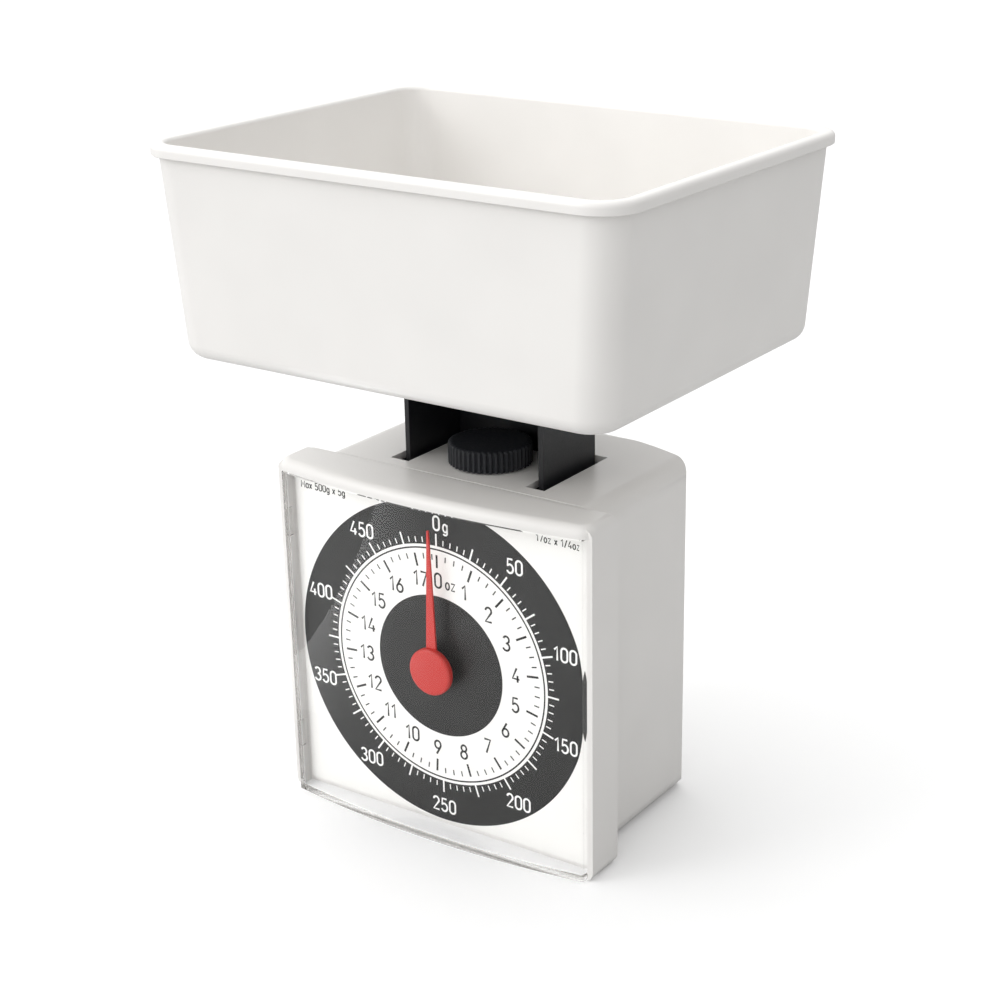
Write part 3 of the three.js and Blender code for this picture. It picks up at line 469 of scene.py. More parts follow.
ROUND = (0.21, 0.21)
GLYPHS = {
    "0": (0.42, [[(0.21, 0.66, *ROUND, 0, 180), (0.21, 0.21, *ROUND, 180, 360), (0.42, 0.66)]]),
    "1": (0.28, [[(0.0, 0.66), (0.2, 0.87), (0.2, 0.0)]]),
    "2": (0.42, [[(0.21, 0.65, 0.2, 0.22, 170, -25), (0.0, 0.0), (0.43, 0.0)]]),
    "3": (0.42, [[(0.2, 0.66, 0.19, 0.21, 160, -90), (0.2, 0.225, 0.22, 0.225, 90, -160)]]),
    "4": (0.44, [[(0.28, 0.87), (0.0, 0.2), (0.46, 0.2)], [(0.34, 0.42), (0.34, 0.0)]]),
    "5": (0.42, [[(0.38, 0.87), (0.06, 0.87), (0.03, 0.46), (0.2, 0.27, 0.22, 0.27, 135, -155)]]),
    "6": (0.42, [[(0.21, 0.25, 0.21, 0.25, 150, -210)], [(0.3, 0.87), (0.02, 0.36)]]),
    "7": (0.42, [[(0.0, 0.87), (0.42, 0.87), (0.14, 0.0)]]),
    "8": (0.42, [[(0.21, 0.67, 0.18, 0.2, 90, -270)], [(0.21, 0.235, 0.215, 0.235, 90, -270)]]),
    "9": (0.42, [[(0.21, 0.62, 0.21, 0.25, -30, 330)], [(0.12, 0.0), (0.4, 0.51)]]),
    "M": (0.54, [[(0.0, 0.0), (0.0, 0.87), (0.27, 0.3), (0.54, 0.87), (0.54, 0.0)]]),
    "a": (0.36, [[(0.18, 0.3, 0.18, 0.3, 0, 360)], [(0.36, 0.6), (0.36, 0.0)]]),
    "g": (0.36, [[(0.18, 0.3, 0.18, 0.3, 0, 360)], [(0.36, 0.6), (0.18, -0.06, 0.18, 0.17, 0, -150)]]),
    "o": (0.36, [[(0.18, 0.3, 0.18, 0.3, 0, 360)]]),
    "x": (0.34, [[(0.0, 0.0), (0.34, 0.6)], [(0.0, 0.6), (0.34, 0.0)]]),
    "z": (0.34, [[(0.0, 0.6), (0.34, 0.6), (0.0, 0.0), (0.34, 0.0)]]),
    "/": (0.3, [[(0.0, -0.04), (0.3, 0.9)]]),
    " ": (0.16, []),
}
GLYPH_HEIGHT = 0.87
GLYPH_GAP = 0.2


def trace(stroke):
    """The points of a stroke, with its arcs cut into short steps."""
    points = []
    for item in stroke:
        if len(item) == 2:
            points.append(item)
            continue
        x, y, rx, ry, first, last = item
        steps = max(2, round(abs(last - first) / 15))
        for i in range(steps + 1):
            angle = radians(first + (last - first) * i / steps)
            points.append((x + rx * cos(angle), y + ry * sin(angle)))
    return points


def write(curve, text, height, centre, thickness=1.0):
    """Adds a line of text to a curve, upright and centred on a point, in millimetres."""
    size = height / GLYPH_HEIGHT
    width = sum(GLYPHS[letter][0] + GLYPH_GAP for letter in text) - GLYPH_GAP
    x = centre[0] - width * size / 2
    y = centre[1] - height / 2
    for letter in text:
        advance, strokes = GLYPHS[letter]
        for stroke in strokes:
            points = trace(stroke)
            closed = (Vector(points[0]) - Vector(points[-1])).length < 1e-6
            points = points[:-1] if closed else points
            spline = curve.splines.new("POLY")
            spline.points.add(len(points) - 1)
            spline.use_cyclic_u = closed
            for point, (px, py) in zip(spline.points, points):
                point.co = (x + px * size, y + py * size, 0, 1)
                point.radius = thickness
        x += (advance + GLYPH_GAP) * size


def new_lettering(name, stroke):
    """A curve for strokes of one width."""
    curve = bpy.data.curves.new(name, "CURVE")
    curve.dimensions = "3D"
    curve.bevel_depth = stroke / 2
    curve.bevel_resolution = 1
    curve.use_fill_caps = True
    return curve


def mesh_of(curve, context):
    """The curve as a bmesh. The curve's own object and data are removed."""
    holder = add_object(context, curve.name, curve)
    context.view_layer.update()
    mesh = bpy.data.meshes.new_from_object(holder.evaluated_get(context.evaluated_depsgraph_get()))
    bm = bmesh.new()
    bm.from_mesh(mesh)
    bpy.data.objects.remove(holder)
    bpy.data.curves.remove(curve)
    bpy.data.meshes.remove(mesh)
    return bm


# The film of each ink stands this far off the card, and is this thick, in millimetres.
FILM_GAP = 0.006
FILM = 0.024


def film_height(layer):
    """Underside of a layer of ink above the card."""
    return FILM_GAP + layer * (FILM + FILM_GAP)


def annulus(bm, inner, outer, layer, segments=160):
    """A flat printed ring. inner may be 0 for a disc."""
    lift = Matrix.Translation((0, 0, film_height(layer)))
    before = set(bm.faces)
    rim = bmesh.ops.create_circle(
        bm, cap_ends=not inner, radius=outer, segments=segments, matrix=lift
    )["verts"]
    if inner:
        hole = bmesh.ops.create_circle(bm, radius=inner, segments=segments, matrix=lift)["verts"]
        bmesh.ops.bridge_loops(bm, edges=edges_of(rim + hole))
    return [face for face in bm.faces if face not in before]


def tick(bm, angle, inner, outer, width, layer):
    """A printed tick at an angle clockwise from the top."""
    place = Matrix.Rotation(-angle, 4, "Z") @ Matrix.Translation((0, (inner + outer) / 2, film_height(layer)))
    rectangle(bm, place, width / 2, (outer - inner) / 2)


def add_lettering(bm, curve, context, layer):
    """Presses a curve's round strokes flat and adds them to a print."""
    letters = mesh_of(curve, context)
    heights = [vert.co.z for vert in letters.verts]
    flatten = Matrix.Diagonal((1, 1, FILM / (max(heights) - min(heights)), 1))
    squeeze = Matrix.Translation((0, 0, film_height(layer) + FILM / 2)) @ flatten
    bmesh.ops.transform(letters, matrix=squeeze, verts=letters.verts)
    flat = bpy.data.meshes.new("strokes")
    letters.to_mesh(flat)
    letters.free()
    bm.from_mesh(flat)
    bpy.data.meshes.remove(flat)


# Pieces


class SCALE_OT_bowl(bpy.types.Operator):
    """Moulds the bowl: drafted walls, rounded foot, turned-down lip and locating rib"""

    bl_idname = "kitchen_scale.bowl"
    bl_label = "Bowl"

    def execute(self, context):
        settings = context.scene.kitchen_scale.bowl
        wall, foot, corner = settings.wall / MM, settings.foot_round / MM, settings.corner / MM
        lip_round = settings.lip_round / MM
        rim = BOWL_HIGH.z
        lip_x, lip_y = BOWL_HIGH.x, BOWL_HIGH.y
        floor = BOWL_LOW.z + 1.5
        # The lip hangs down to this height, and the wall turns out into it at the shoulder.
        lip = rim - 2.9
        shoulder = rim - 1.7
        # Half width and half depth of the outside, each at the floor and at the lip.
        draft = ((59.2, lip_x - 1.8), (48.3, lip_y - 1.7))

        def outside(z, inset=0.0):
            share = (z - floor) / (lip - floor)
            half_x, half_y = (low + (high - low) * share for low, high in draft)
            return half_x - inset, half_y - inset, corner - inset, z

        def inside(z, inset=0.0):
            return outside(z, wall + inset)

        def on_lip(z, inset=0.0):
            return lip_x - inset, lip_y - inset, corner + 1.6 - inset, z

        inner_foot = 3.0
        inner_floor = floor + 2.0
        inner_lip = 0.9
        stations = [outside(floor + foot * (1 - cos(a)), foot * (1 - sin(a))) for a in arc_steps(7)]
        stations += [outside(shoulder - 0.3, 0.0), outside(shoulder, -0.3), on_lip(shoulder, 1.0)]
        stations += [on_lip(lip + 0.15, 0.85), on_lip(lip, 0.7), on_lip(lip, 0.25), on_lip(lip + 0.2, 0.03)]
        stations += [on_lip(rim - lip_round)]
        stations += [
            on_lip(rim - lip_round + lip_round * sin(a), lip_round * (1 - cos(a))) for a in arc_steps(5)
        ]
        stations += [
            inside(rim - inner_lip + inner_lip * cos(a), -inner_lip * (1 - sin(a)))
            for a in arc_steps(4, start=0)
        ]
        stations += [inside(inner_floor + inner_foot)]
        stations += [
            inside(inner_floor + inner_foot * (1 - sin(a)), inner_foot * (1 - cos(a))) for a in arc_steps(6)
        ]

        bm = bmesh.new()
        start = outside(floor, foot)
        rounded_plate(bm, *start)
        loop = list(bm.edges)
        for station in stations:
            before = start

            def follow(co, before=before, station=station):
                half_x, half_y, radius, _ = before
                hub = Vector((half_x - radius, half_y - radius))
                side = Vector((1 if co.x > 0 else -1, 1 if co.y > 0 else -1))
                spoke = Vector((co.x - side.x * hub.x, co.y - side.y * hub.y)) / radius
                new_x, new_y, new_radius, height = station
                hub_x, hub_y = new_x - new_radius, new_y - new_radius
                return Vector(
                    (side.x * hub_x + spoke.x * new_radius, side.y * hub_y + spoke.y * new_radius, height)
                )

            loop = grow(bm, loop, follow)
            start = station
        bmesh.ops.contextual_create(bm, geom=loop)
        self.locating_rib(bm, floor)
        finish_piece(
            context, bm, "bowl_moulding", "bowl", "white",
            stands_for=["bowl"], place=Matrix.Identity(4), crease=44,
        )
        return {"FINISHED"}

    def locating_rib(self, bm, floor):
        """The low rib under the floor that fits round the platform."""
        plate_low, plate_high = box_mm("bowl_platform")
        centre = (plate_low + plate_high) / 2
        play, width = 0.5, 1.4
        half_x, half_y = plate_high.x + play, (plate_high.y - plate_low.y) / 2 + play
        under = Matrix.Translation((centre.x, centre.y, BOWL_LOW.z))
        rib = rectangle(bm, under, half_x + width, half_y + width)
        face = rib[0].link_faces[0]
        bmesh.ops.inset_region(bm, faces=[face], thickness=width, use_even_offset=True)
        ring = [f for f in bm.faces if f is not face and any(v in rib for v in f.verts)]
        bmesh.ops.delete(bm, geom=[face], context="FACES_ONLY")
        raise_faces(bm, ring, floor + 0.4 - BOWL_LOW.z)


class SCALE_OT_dial(bpy.types.Operator):
    """Lays the printed card with its gram ring, ounce scale and numbers"""

    bl_idname = "kitchen_scale.dial"
    bl_label = "Dial card"

    def execute(self, context):
        dial = context.scene.kitchen_scale.dial
        finished_copy(context, "dial_card", "card")
        self.print_dark(context, dial)
        self.print_white(context, dial)
        return {"FINISHED"}

    def print_dark(self, context, dial):
        """The black ring and disc, the fine circle and the ounce scale."""
        ounces = dial.full_turn / 28.3495
        bm = bmesh.new()
        annulus(bm, dial.ring_inner / MM, dial.ring_outer / MM, 0, 200)
        everything = list(bm.verts) + list(bm.edges) + list(bm.faces)
        bmesh.ops.bisect_plane(
            bm, geom=everything, plane_co=(0, dial.ring_flat / MM, 0), plane_no=(0, 1, 0), clear_outer=True
        )
        annulus(bm, 1.9, dial.disc / MM, 0, 128)
        annulus(bm, dial.circle / MM - 0.19, dial.circle / MM + 0.19, 0)
        for quarter in range(int(ounces * 4) + 1):
            whole = quarter % 4 == 0
            inner, width = (25.6, 0.55) if whole else (27.5, 0.32)
            tick(bm, tau * quarter / 4 / ounces, inner, 28.9, width, 0)
        raise_faces(bm, list(bm.faces), FILM)

        curve = new_lettering("dark_strokes", dial.stroke / MM)
        height = dial.number_height / MM
        radius = 22.4
        write(curve, "0", height, (0.2, radius))
        write(curve, "oz", height * 0.7, (3.75, 21.95), 0.8)
        for ounce in range(1, int(ounces) + 1):
            angle = tau * ounce / ounces
            write(curve, str(ounce), height, (radius * sin(angle), radius * cos(angle)))
        write(curve, f"Max {dial.full_turn}g x {dial.tick_step}g", 1.7, (-33.8, 39.1), 0.55)
        write(curve, "17oz x 1/4oz", 1.7, (34.3, 39.5), 0.55)
        add_lettering(bm, curve, context, 0)
        finish_piece(context, bm, "dial_dark_print", "frame", "dark_ink", place=ON_DIAL)

    def print_white(self, context, dial):
        """The gram ticks and numbers on the black ring."""
        bm = bmesh.new()
        count = dial.full_turn // dial.tick_step
        for index in range(count):
            long = index * dial.tick_step % (dial.number_step // 2) == 0
            inner, outer, width = (31.0, 34.3, 0.46) if long else (31.65, 33.0, 0.3)
            tick(bm, tau * index / count, inner, outer, width, 1)
        raise_faces(bm, list(bm.faces), FILM)

        curve = new_lettering("white_strokes", dial.stroke / MM)
        height = dial.number_height / MM * 0.95
        radius = 38.0
        write(curve, "0", height, (0.2, 37.0))
        write(curve, "g", height * 0.82, (2.75, 36.65), 0.85)
        for grams in range(dial.number_step, dial.full_turn, dial.number_step):
            angle = tau * grams / dial.full_turn
            write(curve, str(grams), height, (radius * sin(angle), radius * cos(angle)))
        add_lettering(bm, curve, context, 1)
        finish_piece(context, bm, "dial_white_print", "frame", "white_ink", place=ON_DIAL)


class SCALE_OT_pointer(bpy.types.Operator):
    """Moulds the red pointer: a low domed hub and a tapered blade"""

    bl_idname = "kitchen_scale.pointer"
    bl_label = "Pointer"

    def execute(self, context):
        bm = bmesh.new()
        tip = box_mm("pointer")[1].z - DIAL_HEIGHT
        root_half, tip_half = 1.55, 0.24
        blade = rectangle(bm, Matrix.Translation((0, tip / 2 + 1.5, 2.8)), 1, tip / 2 - 1.6, rows=8)
        for vert in blade:
            share = (vert.co.y - 4) / (tip - 4)
            vert.co.x *= root_half + (tip_half - root_half) * share
        raise_faces(bm, list(bm.faces), 0.6)
        round_off(bm, [e for e in bm.edges if e.calc_face_angle(0) > radians(50)], 0.12, 2)
        # The hub's profile, as stations of (radius, height above the card), and its boss on the spindle.
        hub = [(5.3, 2.6), (5.75, 2.68), (5.95, 2.95), (5.98, 3.3), (5.98, 4.0), (5.9, 4.25), (5.72, 4.45)]
        hub += [(5.45, 4.58), (5.0, 4.65), (3.6, 4.76), (1.8, 4.86), (0.6, 4.89)]
        turned(bm, hub, 72)
        turned(bm, [(1.9, 1.2), (1.9, 2.7)], 32)
        finish_piece(
            context, bm, "pointer_moulding", "pointer", "red",
            stands_for=["pointer"], place=ON_DIAL,
        )
        return {"FINISHED"}


class SCALE_OT_zero_knob(bpy.types.Operator):
    """Moulds the ribbed zero knob on its stem, and its spring clip"""

    bl_idname = "kitchen_scale.zero_knob"
    bl_label = "Zero knob"

    def execute(self, context):
        settings = context.scene.kitchen_scale.knob
        depth, crown = settings.rib_depth / MM, settings.crown / MM
        radius = KNOB_HIGH.x
        bottom, top = KNOB_HIGH.z - 5.2, KNOB_HIGH.z
        clip_low, clip_high = box_mm("knob_clip")
        per_rib = 6
        bm = bmesh.new()
        ring = bmesh.ops.create_circle(
            bm, radius=radius, segments=settings.ribs * per_rib, matrix=Matrix.Translation((0, 0, bottom))
        )["verts"]
        # Of the six corners of each rib, one is the groove's floor and its neighbours lie half way down.
        share = {0: 1.0, 1: 0.72, 5: 0.72, 2: 0.0, 3: 0.0, 4: 0.0}
        for index, vert in enumerate(ring):
            vert.co.xy = vert.co.xy * (1 - depth * share[index % per_rib] / radius)
        ribbed = edges_of(ring)
        inward = grow(bm, ribbed, at_radius(radius - 0.7, bottom))
        stem = [(2.9, bottom), (2.9, clip_high.z + 0.3), (2.3, clip_high.z + 0.3), (2.3, clip_low.z - 0.3)]
        stem += [(2.9, clip_low.z - 0.3), (2.9, KNOB_LOW.z + 0.3), (2.6, KNOB_LOW.z), (2.1, KNOB_LOW.z)]
        # The stem is bored from below, with room for the adjuster screw.
        stem += [(2.1, box_mm("adjuster_screw")[1].z + 0.3)]
        for r, z in stem:
            inward = grow(bm, inward, at_radius(r, z))
        bmesh.ops.contextual_create(bm, geom=inward)
        upward = grow(bm, ribbed, lambda co: Vector((co.x, co.y, top - crown)))
        # The ribs fade out over the rounded edge.
        for step in arc_steps(4):
            shrink = 1 - crown * (1 - cos(step)) / radius
            height = top - crown * (1 - sin(step))
            upward = grow(bm, upward, lambda co: Vector((co.x * shrink, co.y * shrink, height)))
        for inset in (1.6, 3.0):
            upward = grow(bm, upward, at_radius(radius - inset, top))
        bmesh.ops.contextual_create(bm, geom=upward)
        centre = Matrix.Translation((0, (KNOB_LOW.y + KNOB_HIGH.y) / 2, 0))
        finish_piece(
            context, bm, "zero_knob_moulding", "zero_knob", "knob",
            stands_for=["zero_knob"], place=centre, crease=50,
        )
        finished_copy(context, "knob_clip", "wire")
        return {"FINISHED"}


class SCALE_OT_casing(bpy.types.Operator):
    """Finishes the rear housing, the front bezel with its hood and the clear lens"""

    bl_idname = "kitchen_scale.casing"
    bl_label = "Casing"

    def execute(self, context):
        finished_copy(context, "rear_housing", "white", soft_edge=0.2)
        finished_copy(context, "front_bezel", "white", soft_edge=0.2, rolled=self.outer_edge)
        finished_copy(context, "lens", "clear")
        return {"FINISHED"}

    def outer_edge(self, edge):
        """True for the bezel's upright front edges, by their place in millimetres."""
        side, front, near = 45.3, -30.9, 0.02
        return all(
            abs(abs(vert.co.x) / MM - side) < near and abs(vert.co.y / MM - front) < near
            for vert in edge.verts
        )


class SCALE_OT_carrier(bpy.types.Operator):
    """Finishes the carrier and the platform that holds the bowl"""

    bl_idname = "kitchen_scale.carrier"
    bl_label = "Carrier and platform"

    def execute(self, context):
        finished_copy(context, "carrier", "black", soft_edge=0.18)
        finished_copy(context, "bowl_platform", "black", soft_edge=0.3)
        return {"FINISHED"}


class SCALE_OT_works(bpy.types.Operator):
    """Finishes the chassis, links, bearings, gears and pins inside the housing"""

    bl_idname = "kitchen_scale.works"
    bl_label = "Works"

    def execute(self, context):
        for node in ("chassis", "bearing_bridge", "upper_link", "lower_link", "spring_hanger"):
            finished_copy(context, node, "sheet", soft_edge=0.08)
        for node in ("upper_carrier_pin", "lower_carrier_pin", "rack_pin", "spring_pin",
                     "upper_pivot_pin", "lower_pivot_pin", "pointer_spindle"):
            finished_copy(context, node, "screw")
        for node in ("pinion", "front_bush", "rear_bush"):
            finished_copy(context, node, "brass")
        for node in ("rack", "rack_guide"):
            finished_copy(context, node, "acetal")
        self.adjuster_screw(context)
        return {"FINISHED"}

    def adjuster_screw(self, context):
        """The zero screw, with a thread of 0.7 mm pitch up to the knob."""
        low, high = box_mm("adjuster_screw")
        pitch, crest, root = 0.7, 2.0, 1.62
        turns = int((high.z - low.z - 4) / pitch)
        stations = [(1.4, low.z), (root, low.z + 0.25)]
        for turn in range(turns):
            z = low.z + 0.3 + turn * pitch
            stations += [(root, z), (crest, z + 0.3), (crest, z + 0.4)]
        stations += [(root, low.z + 0.3 + turns * pitch), (crest, low.z + 0.6 + turns * pitch)]
        stations += [(crest, high.z)]
        bm = bmesh.new()
        turned(bm, stations, 32)
        place = Matrix.Translation(((low.x + high.x) / 2, (low.y + high.y) / 2, 0))
        finish_piece(
            context, bm, "adjuster_screw_thread", body_of("adjuster_screw"), "screw",
            stands_for=["adjuster_screw"], place=place, crease=50,
        )


class SCALE_OT_main_spring(bpy.types.Operator):
    """Winds the tension spring between the hanger and the carrier"""

    bl_idname = "kitchen_scale.main_spring"
    bl_label = "Main spring"

    def execute(self, context):
        low, high = box_mm("main_spring")
        wire = 0.45
        hook = 2.2
        centre_y = (low.y + high.y) / 2
        bottom, top = low.z + hook + wire, high.z - hook - wire
        lead, radius, turns, per_turn = hook + 2.6, high.x - wire, 12, 16
        points = []

        def hook_points(z, start):
            for i in range(13):
                angle = start - radians(300) * i / 12
                points.append((0, hook * cos(angle), z + hook * sin(angle)))

        hook_points(bottom, pi / 3)
        for i in range(turns * per_turn + 1):
            angle = tau * i / per_turn - pi / 2
            z = bottom + lead + (top - bottom - 2 * lead) * i / (turns * per_turn)
            points.append((radius * cos(angle), radius * sin(angle), z))
        # The wire is cut two turns below the top, into the coil and the upper hook.
        cut = len(points) - 1 - 2 * per_turn
        cut_height = points[cut][2]
        hook_points(top, 4 * pi / 3)

        def axis_point(height):
            return 0, centre_y * MM, height * MM

        place = Matrix.Translation((0, centre_y, 0))
        self.wind(
            context, "main_spring_coil", points[: cut + 1], wire, place,
            "frame", "carrier", axis_point(cut_height), axis_point(bottom), ["main_spring"],
        )
        self.wind(
            context, "main_spring_upper_hook", points[cut:], wire, place,
            "spring_hanger", "frame", axis_point(top - hook), axis_point(cut_height),
        )
        return {"FINISHED"}

    def wind(self, context, name, points, wire, place, first, second, start, end, stands_for=()):
        """A length of wire along points, finished on body first. second, start and end are not used."""
        curve = bpy.data.curves.new(name, "CURVE")
        curve.dimensions = "3D"
        curve.bevel_depth = wire
        curve.bevel_resolution = 3
        curve.resolution_u = 3
        curve.use_fill_caps = True
        spline = curve.splines.new("NURBS")
        spline.points.add(len(points) - 1)
        for point, spot in zip(spline.points, points):
            point.co = (*spot, 1)
        spline.order_u = 4
        spline.use_endpoint_u = True
        piece = finish_piece(
            context, mesh_of(curve, context), name, first, "wire",
            stands_for=stands_for, place=place,
        )
        # The piece is left without a parent.
        piece.parent = None
        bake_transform(piece)


class SCALE_OT_screws(bpy.types.Operator):
    """Turns the countersunk cross-recess screws and sets each in its hole"""

    bl_idname = "kitchen_scale.screws"
    bl_label = "Screws"

    def execute(self, context):
        upright = Matrix()
        to_front, to_back = Matrix.Rotation(pi / 2, 4, "X"), Matrix.Rotation(-pi / 2, 4, "X")
        # Name, count, head radius, head height, shank radius and the turn that brings +Z to the head's side.
        kinds = [
            ("platform_screw", 2, 2.6, 1.1, 1.1, upright),
            ("chassis_screw", 4, 2.8, 1.6, 1.3, to_front),
            ("bridge_screw", 2, 2.0, 1.0, 1.0, to_back),
            ("housing_screw", 4, 2.8, 1.6, 1.3, to_back),
        ]
        for name, count, head, head_height, shank, turn in kinds:
            for index in range(1, count + 1):
                self.screw(context, f"{name}_{index}", head, head_height, shank, turn)
        return {"FINISHED"}

    def screw(self, context, node, head, head_height, shank, turn):
        """One screw, drawn with the top of its head at the origin."""
        low, high = box_mm(node)
        facing = turn.to_3x3() @ Vector((0, 0, 1))
        reach = abs((high - low).dot(facing))
        head_top = (low + high) / 2 + facing * reach / 2
        bm = bmesh.new()
        thread = []
        pitch = 0.8
        z = -reach + 1.0
        while z < -head_height - pitch:
            thread += [(shank * 0.8, z), (shank, z + 0.3), (shank, z + 0.4)]
            z += pitch
        turned(
            bm,
            [(shank * 0.25, -reach), (shank * 0.7, -reach + 0.7)] + thread
            + [(shank, -head_height), (head - 0.05, -head_height * 0.35), (head, -head_height * 0.2),
               (head - 0.02, -0.12), (head - 0.14, 0.0)],
            28,
        )
        top = max(bm.faces, key=lambda face: face.calc_center_median().z)
        bmesh.ops.delete(bm, geom=[top], context="FACES_ONLY")
        rim = [edge for edge in bm.edges if edge.is_boundary]
        recess = bmesh.ops.create_grid(bm, x_segments=3, y_segments=3, size=head * 0.52)["verts"]
        # The middle row and column of the grid are narrowed to the recess, whose half width is slot.
        slot = 0.27
        for vert in recess:
            for axis in (0, 1):
                if abs(vert.co[axis]) < head * 0.3:
                    vert.co[axis] *= slot / abs(vert.co[axis])
        cells = list(dict.fromkeys(face for vert in recess for face in vert.link_faces))
        corners = [face for face in cells if min(abs(c) for c in face.calc_center_median().xy) > 0.1]
        bmesh.ops.delete(bm, geom=corners, context="FACES")
        cross = [face for face in cells if face.is_valid]
        made = bmesh.ops.extrude_face_region(bm, geom=cross, use_keep_orig=False)["geom"]
        floor = [item for item in made if isinstance(item, bmesh.types.BMVert)]
        bmesh.ops.translate(bm, vec=(0, 0, -min(head_height * 0.6, 1.0)), verts=floor)
        bmesh.ops.scale(bm, vec=(0.8, 0.8, 1), verts=floor)
        mouth = [edge for edge in bm.edges if edge.is_boundary]
        bmesh.ops.triangle_fill(bm, use_beauty=True, edges=list(dict.fromkeys(mouth + rim)))
        finish_piece(
            context, bm, node + "_turned", body_of(node), "screw", stands_for=[node],
            place=Matrix.Translation(head_top) @ turn,
        )


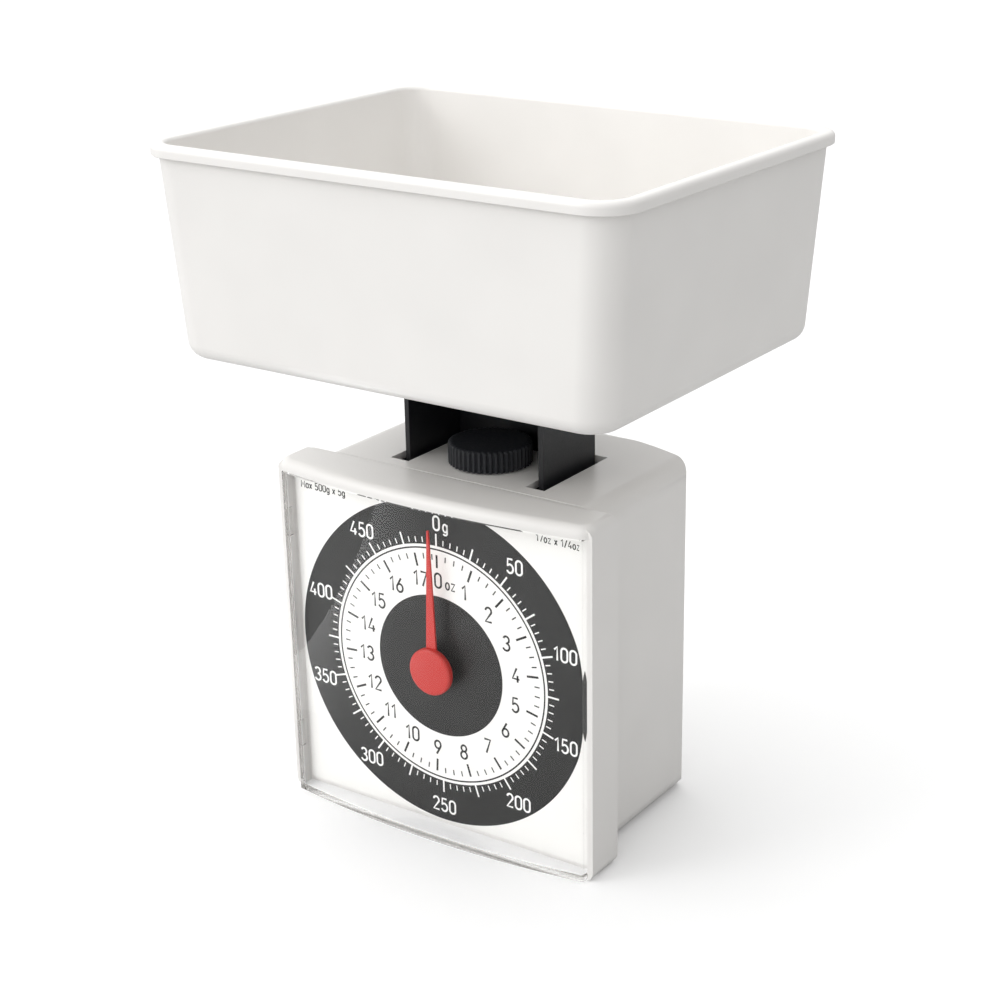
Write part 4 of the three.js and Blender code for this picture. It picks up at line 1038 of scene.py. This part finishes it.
class SCALE_OT_studio(bpy.types.Operator):
    """Sets the pale floor, the soft lights and the camera"""

    bl_idname = "kitchen_scale.studio"
    bl_label = "Studio"

    def execute(self, context):
        studio = context.scene.kitchen_scale.studio
        self.floor(context)
        self.surround(context, studio)
        self.light(context, "key_light", studio.key_power, 0.5, (-0.75, -0.95, 0.75), (0, 0, 0.08))
        self.light(context, "top_light", studio.top_power, 0.6, (-0.15, 0.1, 1.1), (0, 0, 0.1))
        self.sheen(context, studio)
        self.camera(context)
        context.scene.view_settings.view_transform = "Standard"
        context.scene.view_settings.look = "None"
        return {"FINISHED"}

    def floor(self, context):
        """A pale matt sheet that the scale stands on."""
        bm = bmesh.new()
        bmesh.ops.create_grid(bm, x_segments=8, y_segments=8, size=6.0)
        mesh = bpy.data.meshes.new("floor")
        bm.to_mesh(mesh)
        bm.free()
        mesh.materials.append(self.paper())
        add_object(context, "floor", mesh)

    def paper(self):
        """Matt white paper, which looks white and gives only part of its light back to the scale."""
        material, tree = new_material("matt_paper")
        place = add_node(tree, "ShaderNodeTexCoord")
        # Paper fibres are too fine to show, so they are drawn 3 mm long.
        fibre = add_node(
            tree, "ShaderNodeTexNoise",
            {"Vector": place.outputs["Object"], "Scale": 1 / (3 * MM), "Detail": 2.0},
        )
        bump = add_node(tree, "ShaderNodeBump", {"Height": fibre.outputs["Fac"], "Distance": 0.01 * MM})
        seen = add_node(
            tree, "ShaderNodeBsdfDiffuse", {"Color": srgb("FBFBFB"), "Normal": bump.outputs["Normal"]}
        )
        lift = add_node(tree, "ShaderNodeEmission", {"Strength": 0.06})
        bright = add_node(tree, "ShaderNodeAddShader", {0: seen.outputs[0], 1: lift.outputs[0]})
        # The eye's rays meet the bright paper, and so does every ray that has passed through the lens: also
        # those that leave the card, which lights the dial more. All other rays meet the darker paper.
        given = add_node(tree, "ShaderNodeBsdfDiffuse", {"Color": srgb("C8C8C8")})
        ray = add_node(tree, "ShaderNodeLightPath")
        direct = add_node(
            tree, "ShaderNodeMath", {0: ray.outputs["Is Camera Ray"], 1: ray.outputs["Is Transmission Ray"]},
            operation="MAXIMUM",
        )
        mixed = add_node(
            tree, "ShaderNodeMixShader", {0: direct.outputs[0], 1: given.outputs[0], 2: bright.outputs[0]}
        )
        add_node(tree, "ShaderNodeOutputMaterial", {"Surface": mixed.outputs[0]})
        return material

    def surround(self, context, studio):
        """Light from all round: brightest at the upper left, darkest at the right; white to the eye."""
        world = bpy.data.worlds.new("studio_surround")
        world.use_nodes = True
        tree = world.node_tree
        tree.nodes.clear()
        direction = add_node(tree, "ShaderNodeTexCoord")
        slant = add_node(
            tree, "ShaderNodeVectorMath",
            {0: direction.outputs["Generated"], 1: (-0.837, -0.332, 0.433)}, operation="DOT_PRODUCT",
        )
        strength = add_node(
            tree, "ShaderNodeMapRange",
            {"Value": slant.outputs["Value"], "From Min": -1.0, "From Max": 1.0,
             "To Min": studio.surround - studio.slant, "To Max": studio.surround + studio.slant},
        )
        soft = add_node(
            tree, "ShaderNodeBackground", {"Color": srgb("FFFFFF"), "Strength": strength.outputs["Result"]}
        )
        plain = add_node(tree, "ShaderNodeBackground", {"Color": srgb("FFFFFF"), "Strength": 1.0})
        ray = add_node(tree, "ShaderNodeLightPath")
        mixed = add_node(
            tree, "ShaderNodeMixShader",
            {0: ray.outputs["Is Camera Ray"], 1: soft.outputs[0], 2: plain.outputs[0]},
        )
        add_node(tree, "ShaderNodeOutputWorld", {"Surface": mixed.outputs[0]})
        context.scene.world = world

    def light(self, context, name, power, size, place, aim):
        """A square soft light of a size in metres at place, turned to aim."""
        data = bpy.data.lights.new(name, "AREA")
        data.shape = "SQUARE"
        data.size = size
        data.energy = power
        lamp = add_object(context, name, data)
        lamp.location = place
        lamp.rotation_euler = (Vector(aim) - Vector(place)).to_track_quat("-Z", "Y").to_euler()

    def sheen(self, context, studio):
        """A narrow light low at the front left that only reflections show: the lens's slanting sheen."""
        data = bpy.data.lights.new("sheen_light", "AREA")
        data.shape = "RECTANGLE"
        data.size, data.size_y = 0.045, 0.17
        data.energy = studio.sheen_power
        data.use_nodes = True
        tree = data.node_tree
        tree.nodes.clear()
        across = add_node(tree, "ShaderNodeNewGeometry")
        split = add_node(tree, "ShaderNodeSeparateXYZ", {0: across.outputs["Parametric"]})
        fade = add_node(tree, "ShaderNodeMath", {0: split.outputs["X"], 1: 1.6}, operation="POWER")
        glow = add_node(tree, "ShaderNodeEmission", {"Strength": fade.outputs[0]})
        add_node(tree, "ShaderNodeOutputLight", {"Surface": glow.outputs[0]})
        lamp = add_object(context, "sheen_light", data)
        along = Vector((0.434, 0.901, 0))
        down = Vector((0, 0, -1))
        turn = Matrix((along.cross(down), along, down)).transposed().to_4x4()
        lamp.matrix_world = Matrix.Translation((-0.1057, -0.129, 0.006)) @ turn
        lamp.visible_camera = False
        lamp.visible_diffuse = False
        lamp.visible_transmission = False

    def camera(self, context):
        """The camera at the scale's front right, a little above the bowl."""
        data = bpy.data.cameras.new("camera")
        data.lens = 71.17
        data.sensor_width = 36.0
        data.shift_x = -0.0946
        data.shift_y = 0.0230
        data.clip_start = 0.02
        data.clip_end = 50.0
        camera = add_object(context, "camera", data)
        camera.location = (0.2628, -0.3732, 0.2486)
        camera.rotation_euler = (radians(68.81), radians(0.07), radians(32.33))
        context.scene.camera = camera


class SCALE_PT_panel(bpy.types.Panel):
    """Lists the scale's pieces and its studio"""

    bl_idname = "SCALE_PT_panel"
    bl_label = "Kitchen scale"
    bl_space_type = "VIEW_3D"
    bl_region_type = "UI"
    bl_category = "Kitchen scale"

    def draw(self, context):
        settings = context.scene.kitchen_scale
        for operator in OPERATORS:
            self.layout.operator(operator.bl_idname)
        for group in (settings.dial, settings.bowl, settings.knob, settings.finish, settings.studio):
            column = self.layout.column()
            for field in group.bl_rna.properties:
                if not field.is_readonly and field.identifier != "name":
                    column.prop(group, field.identifier)


OPERATORS = (
    SCALE_OT_bowl,
    SCALE_OT_dial,
    SCALE_OT_pointer,
    SCALE_OT_zero_knob,
    SCALE_OT_casing,
    SCALE_OT_carrier,
    SCALE_OT_works,
    SCALE_OT_main_spring,
    SCALE_OT_screws,
    SCALE_OT_studio,
)
SETTINGS = (DialSettings, BowlSettings, KnobSettings, FinishSettings, StudioSettings, ScaleSettings)


def register():
    for kind in (*SETTINGS, *OPERATORS, SCALE_PT_panel):
        bpy.utils.register_class(kind)
    bpy.types.Scene.kitchen_scale = bpy.props.PointerProperty(
        name="Kitchen scale", description="Sizes, colours and lights of the scale", type=ScaleSettings
    )


def unregister():
    del bpy.types.Scene.kitchen_scale
    for kind in reversed((*SETTINGS, *OPERATORS, SCALE_PT_panel)):
        bpy.utils.unregister_class(kind)


def main():
    register()
    for operator in OPERATORS:
        group, name = operator.bl_idname.split(".")
        getattr(getattr(bpy.ops, group), name)()


if __name__ == "__main__":
    main()
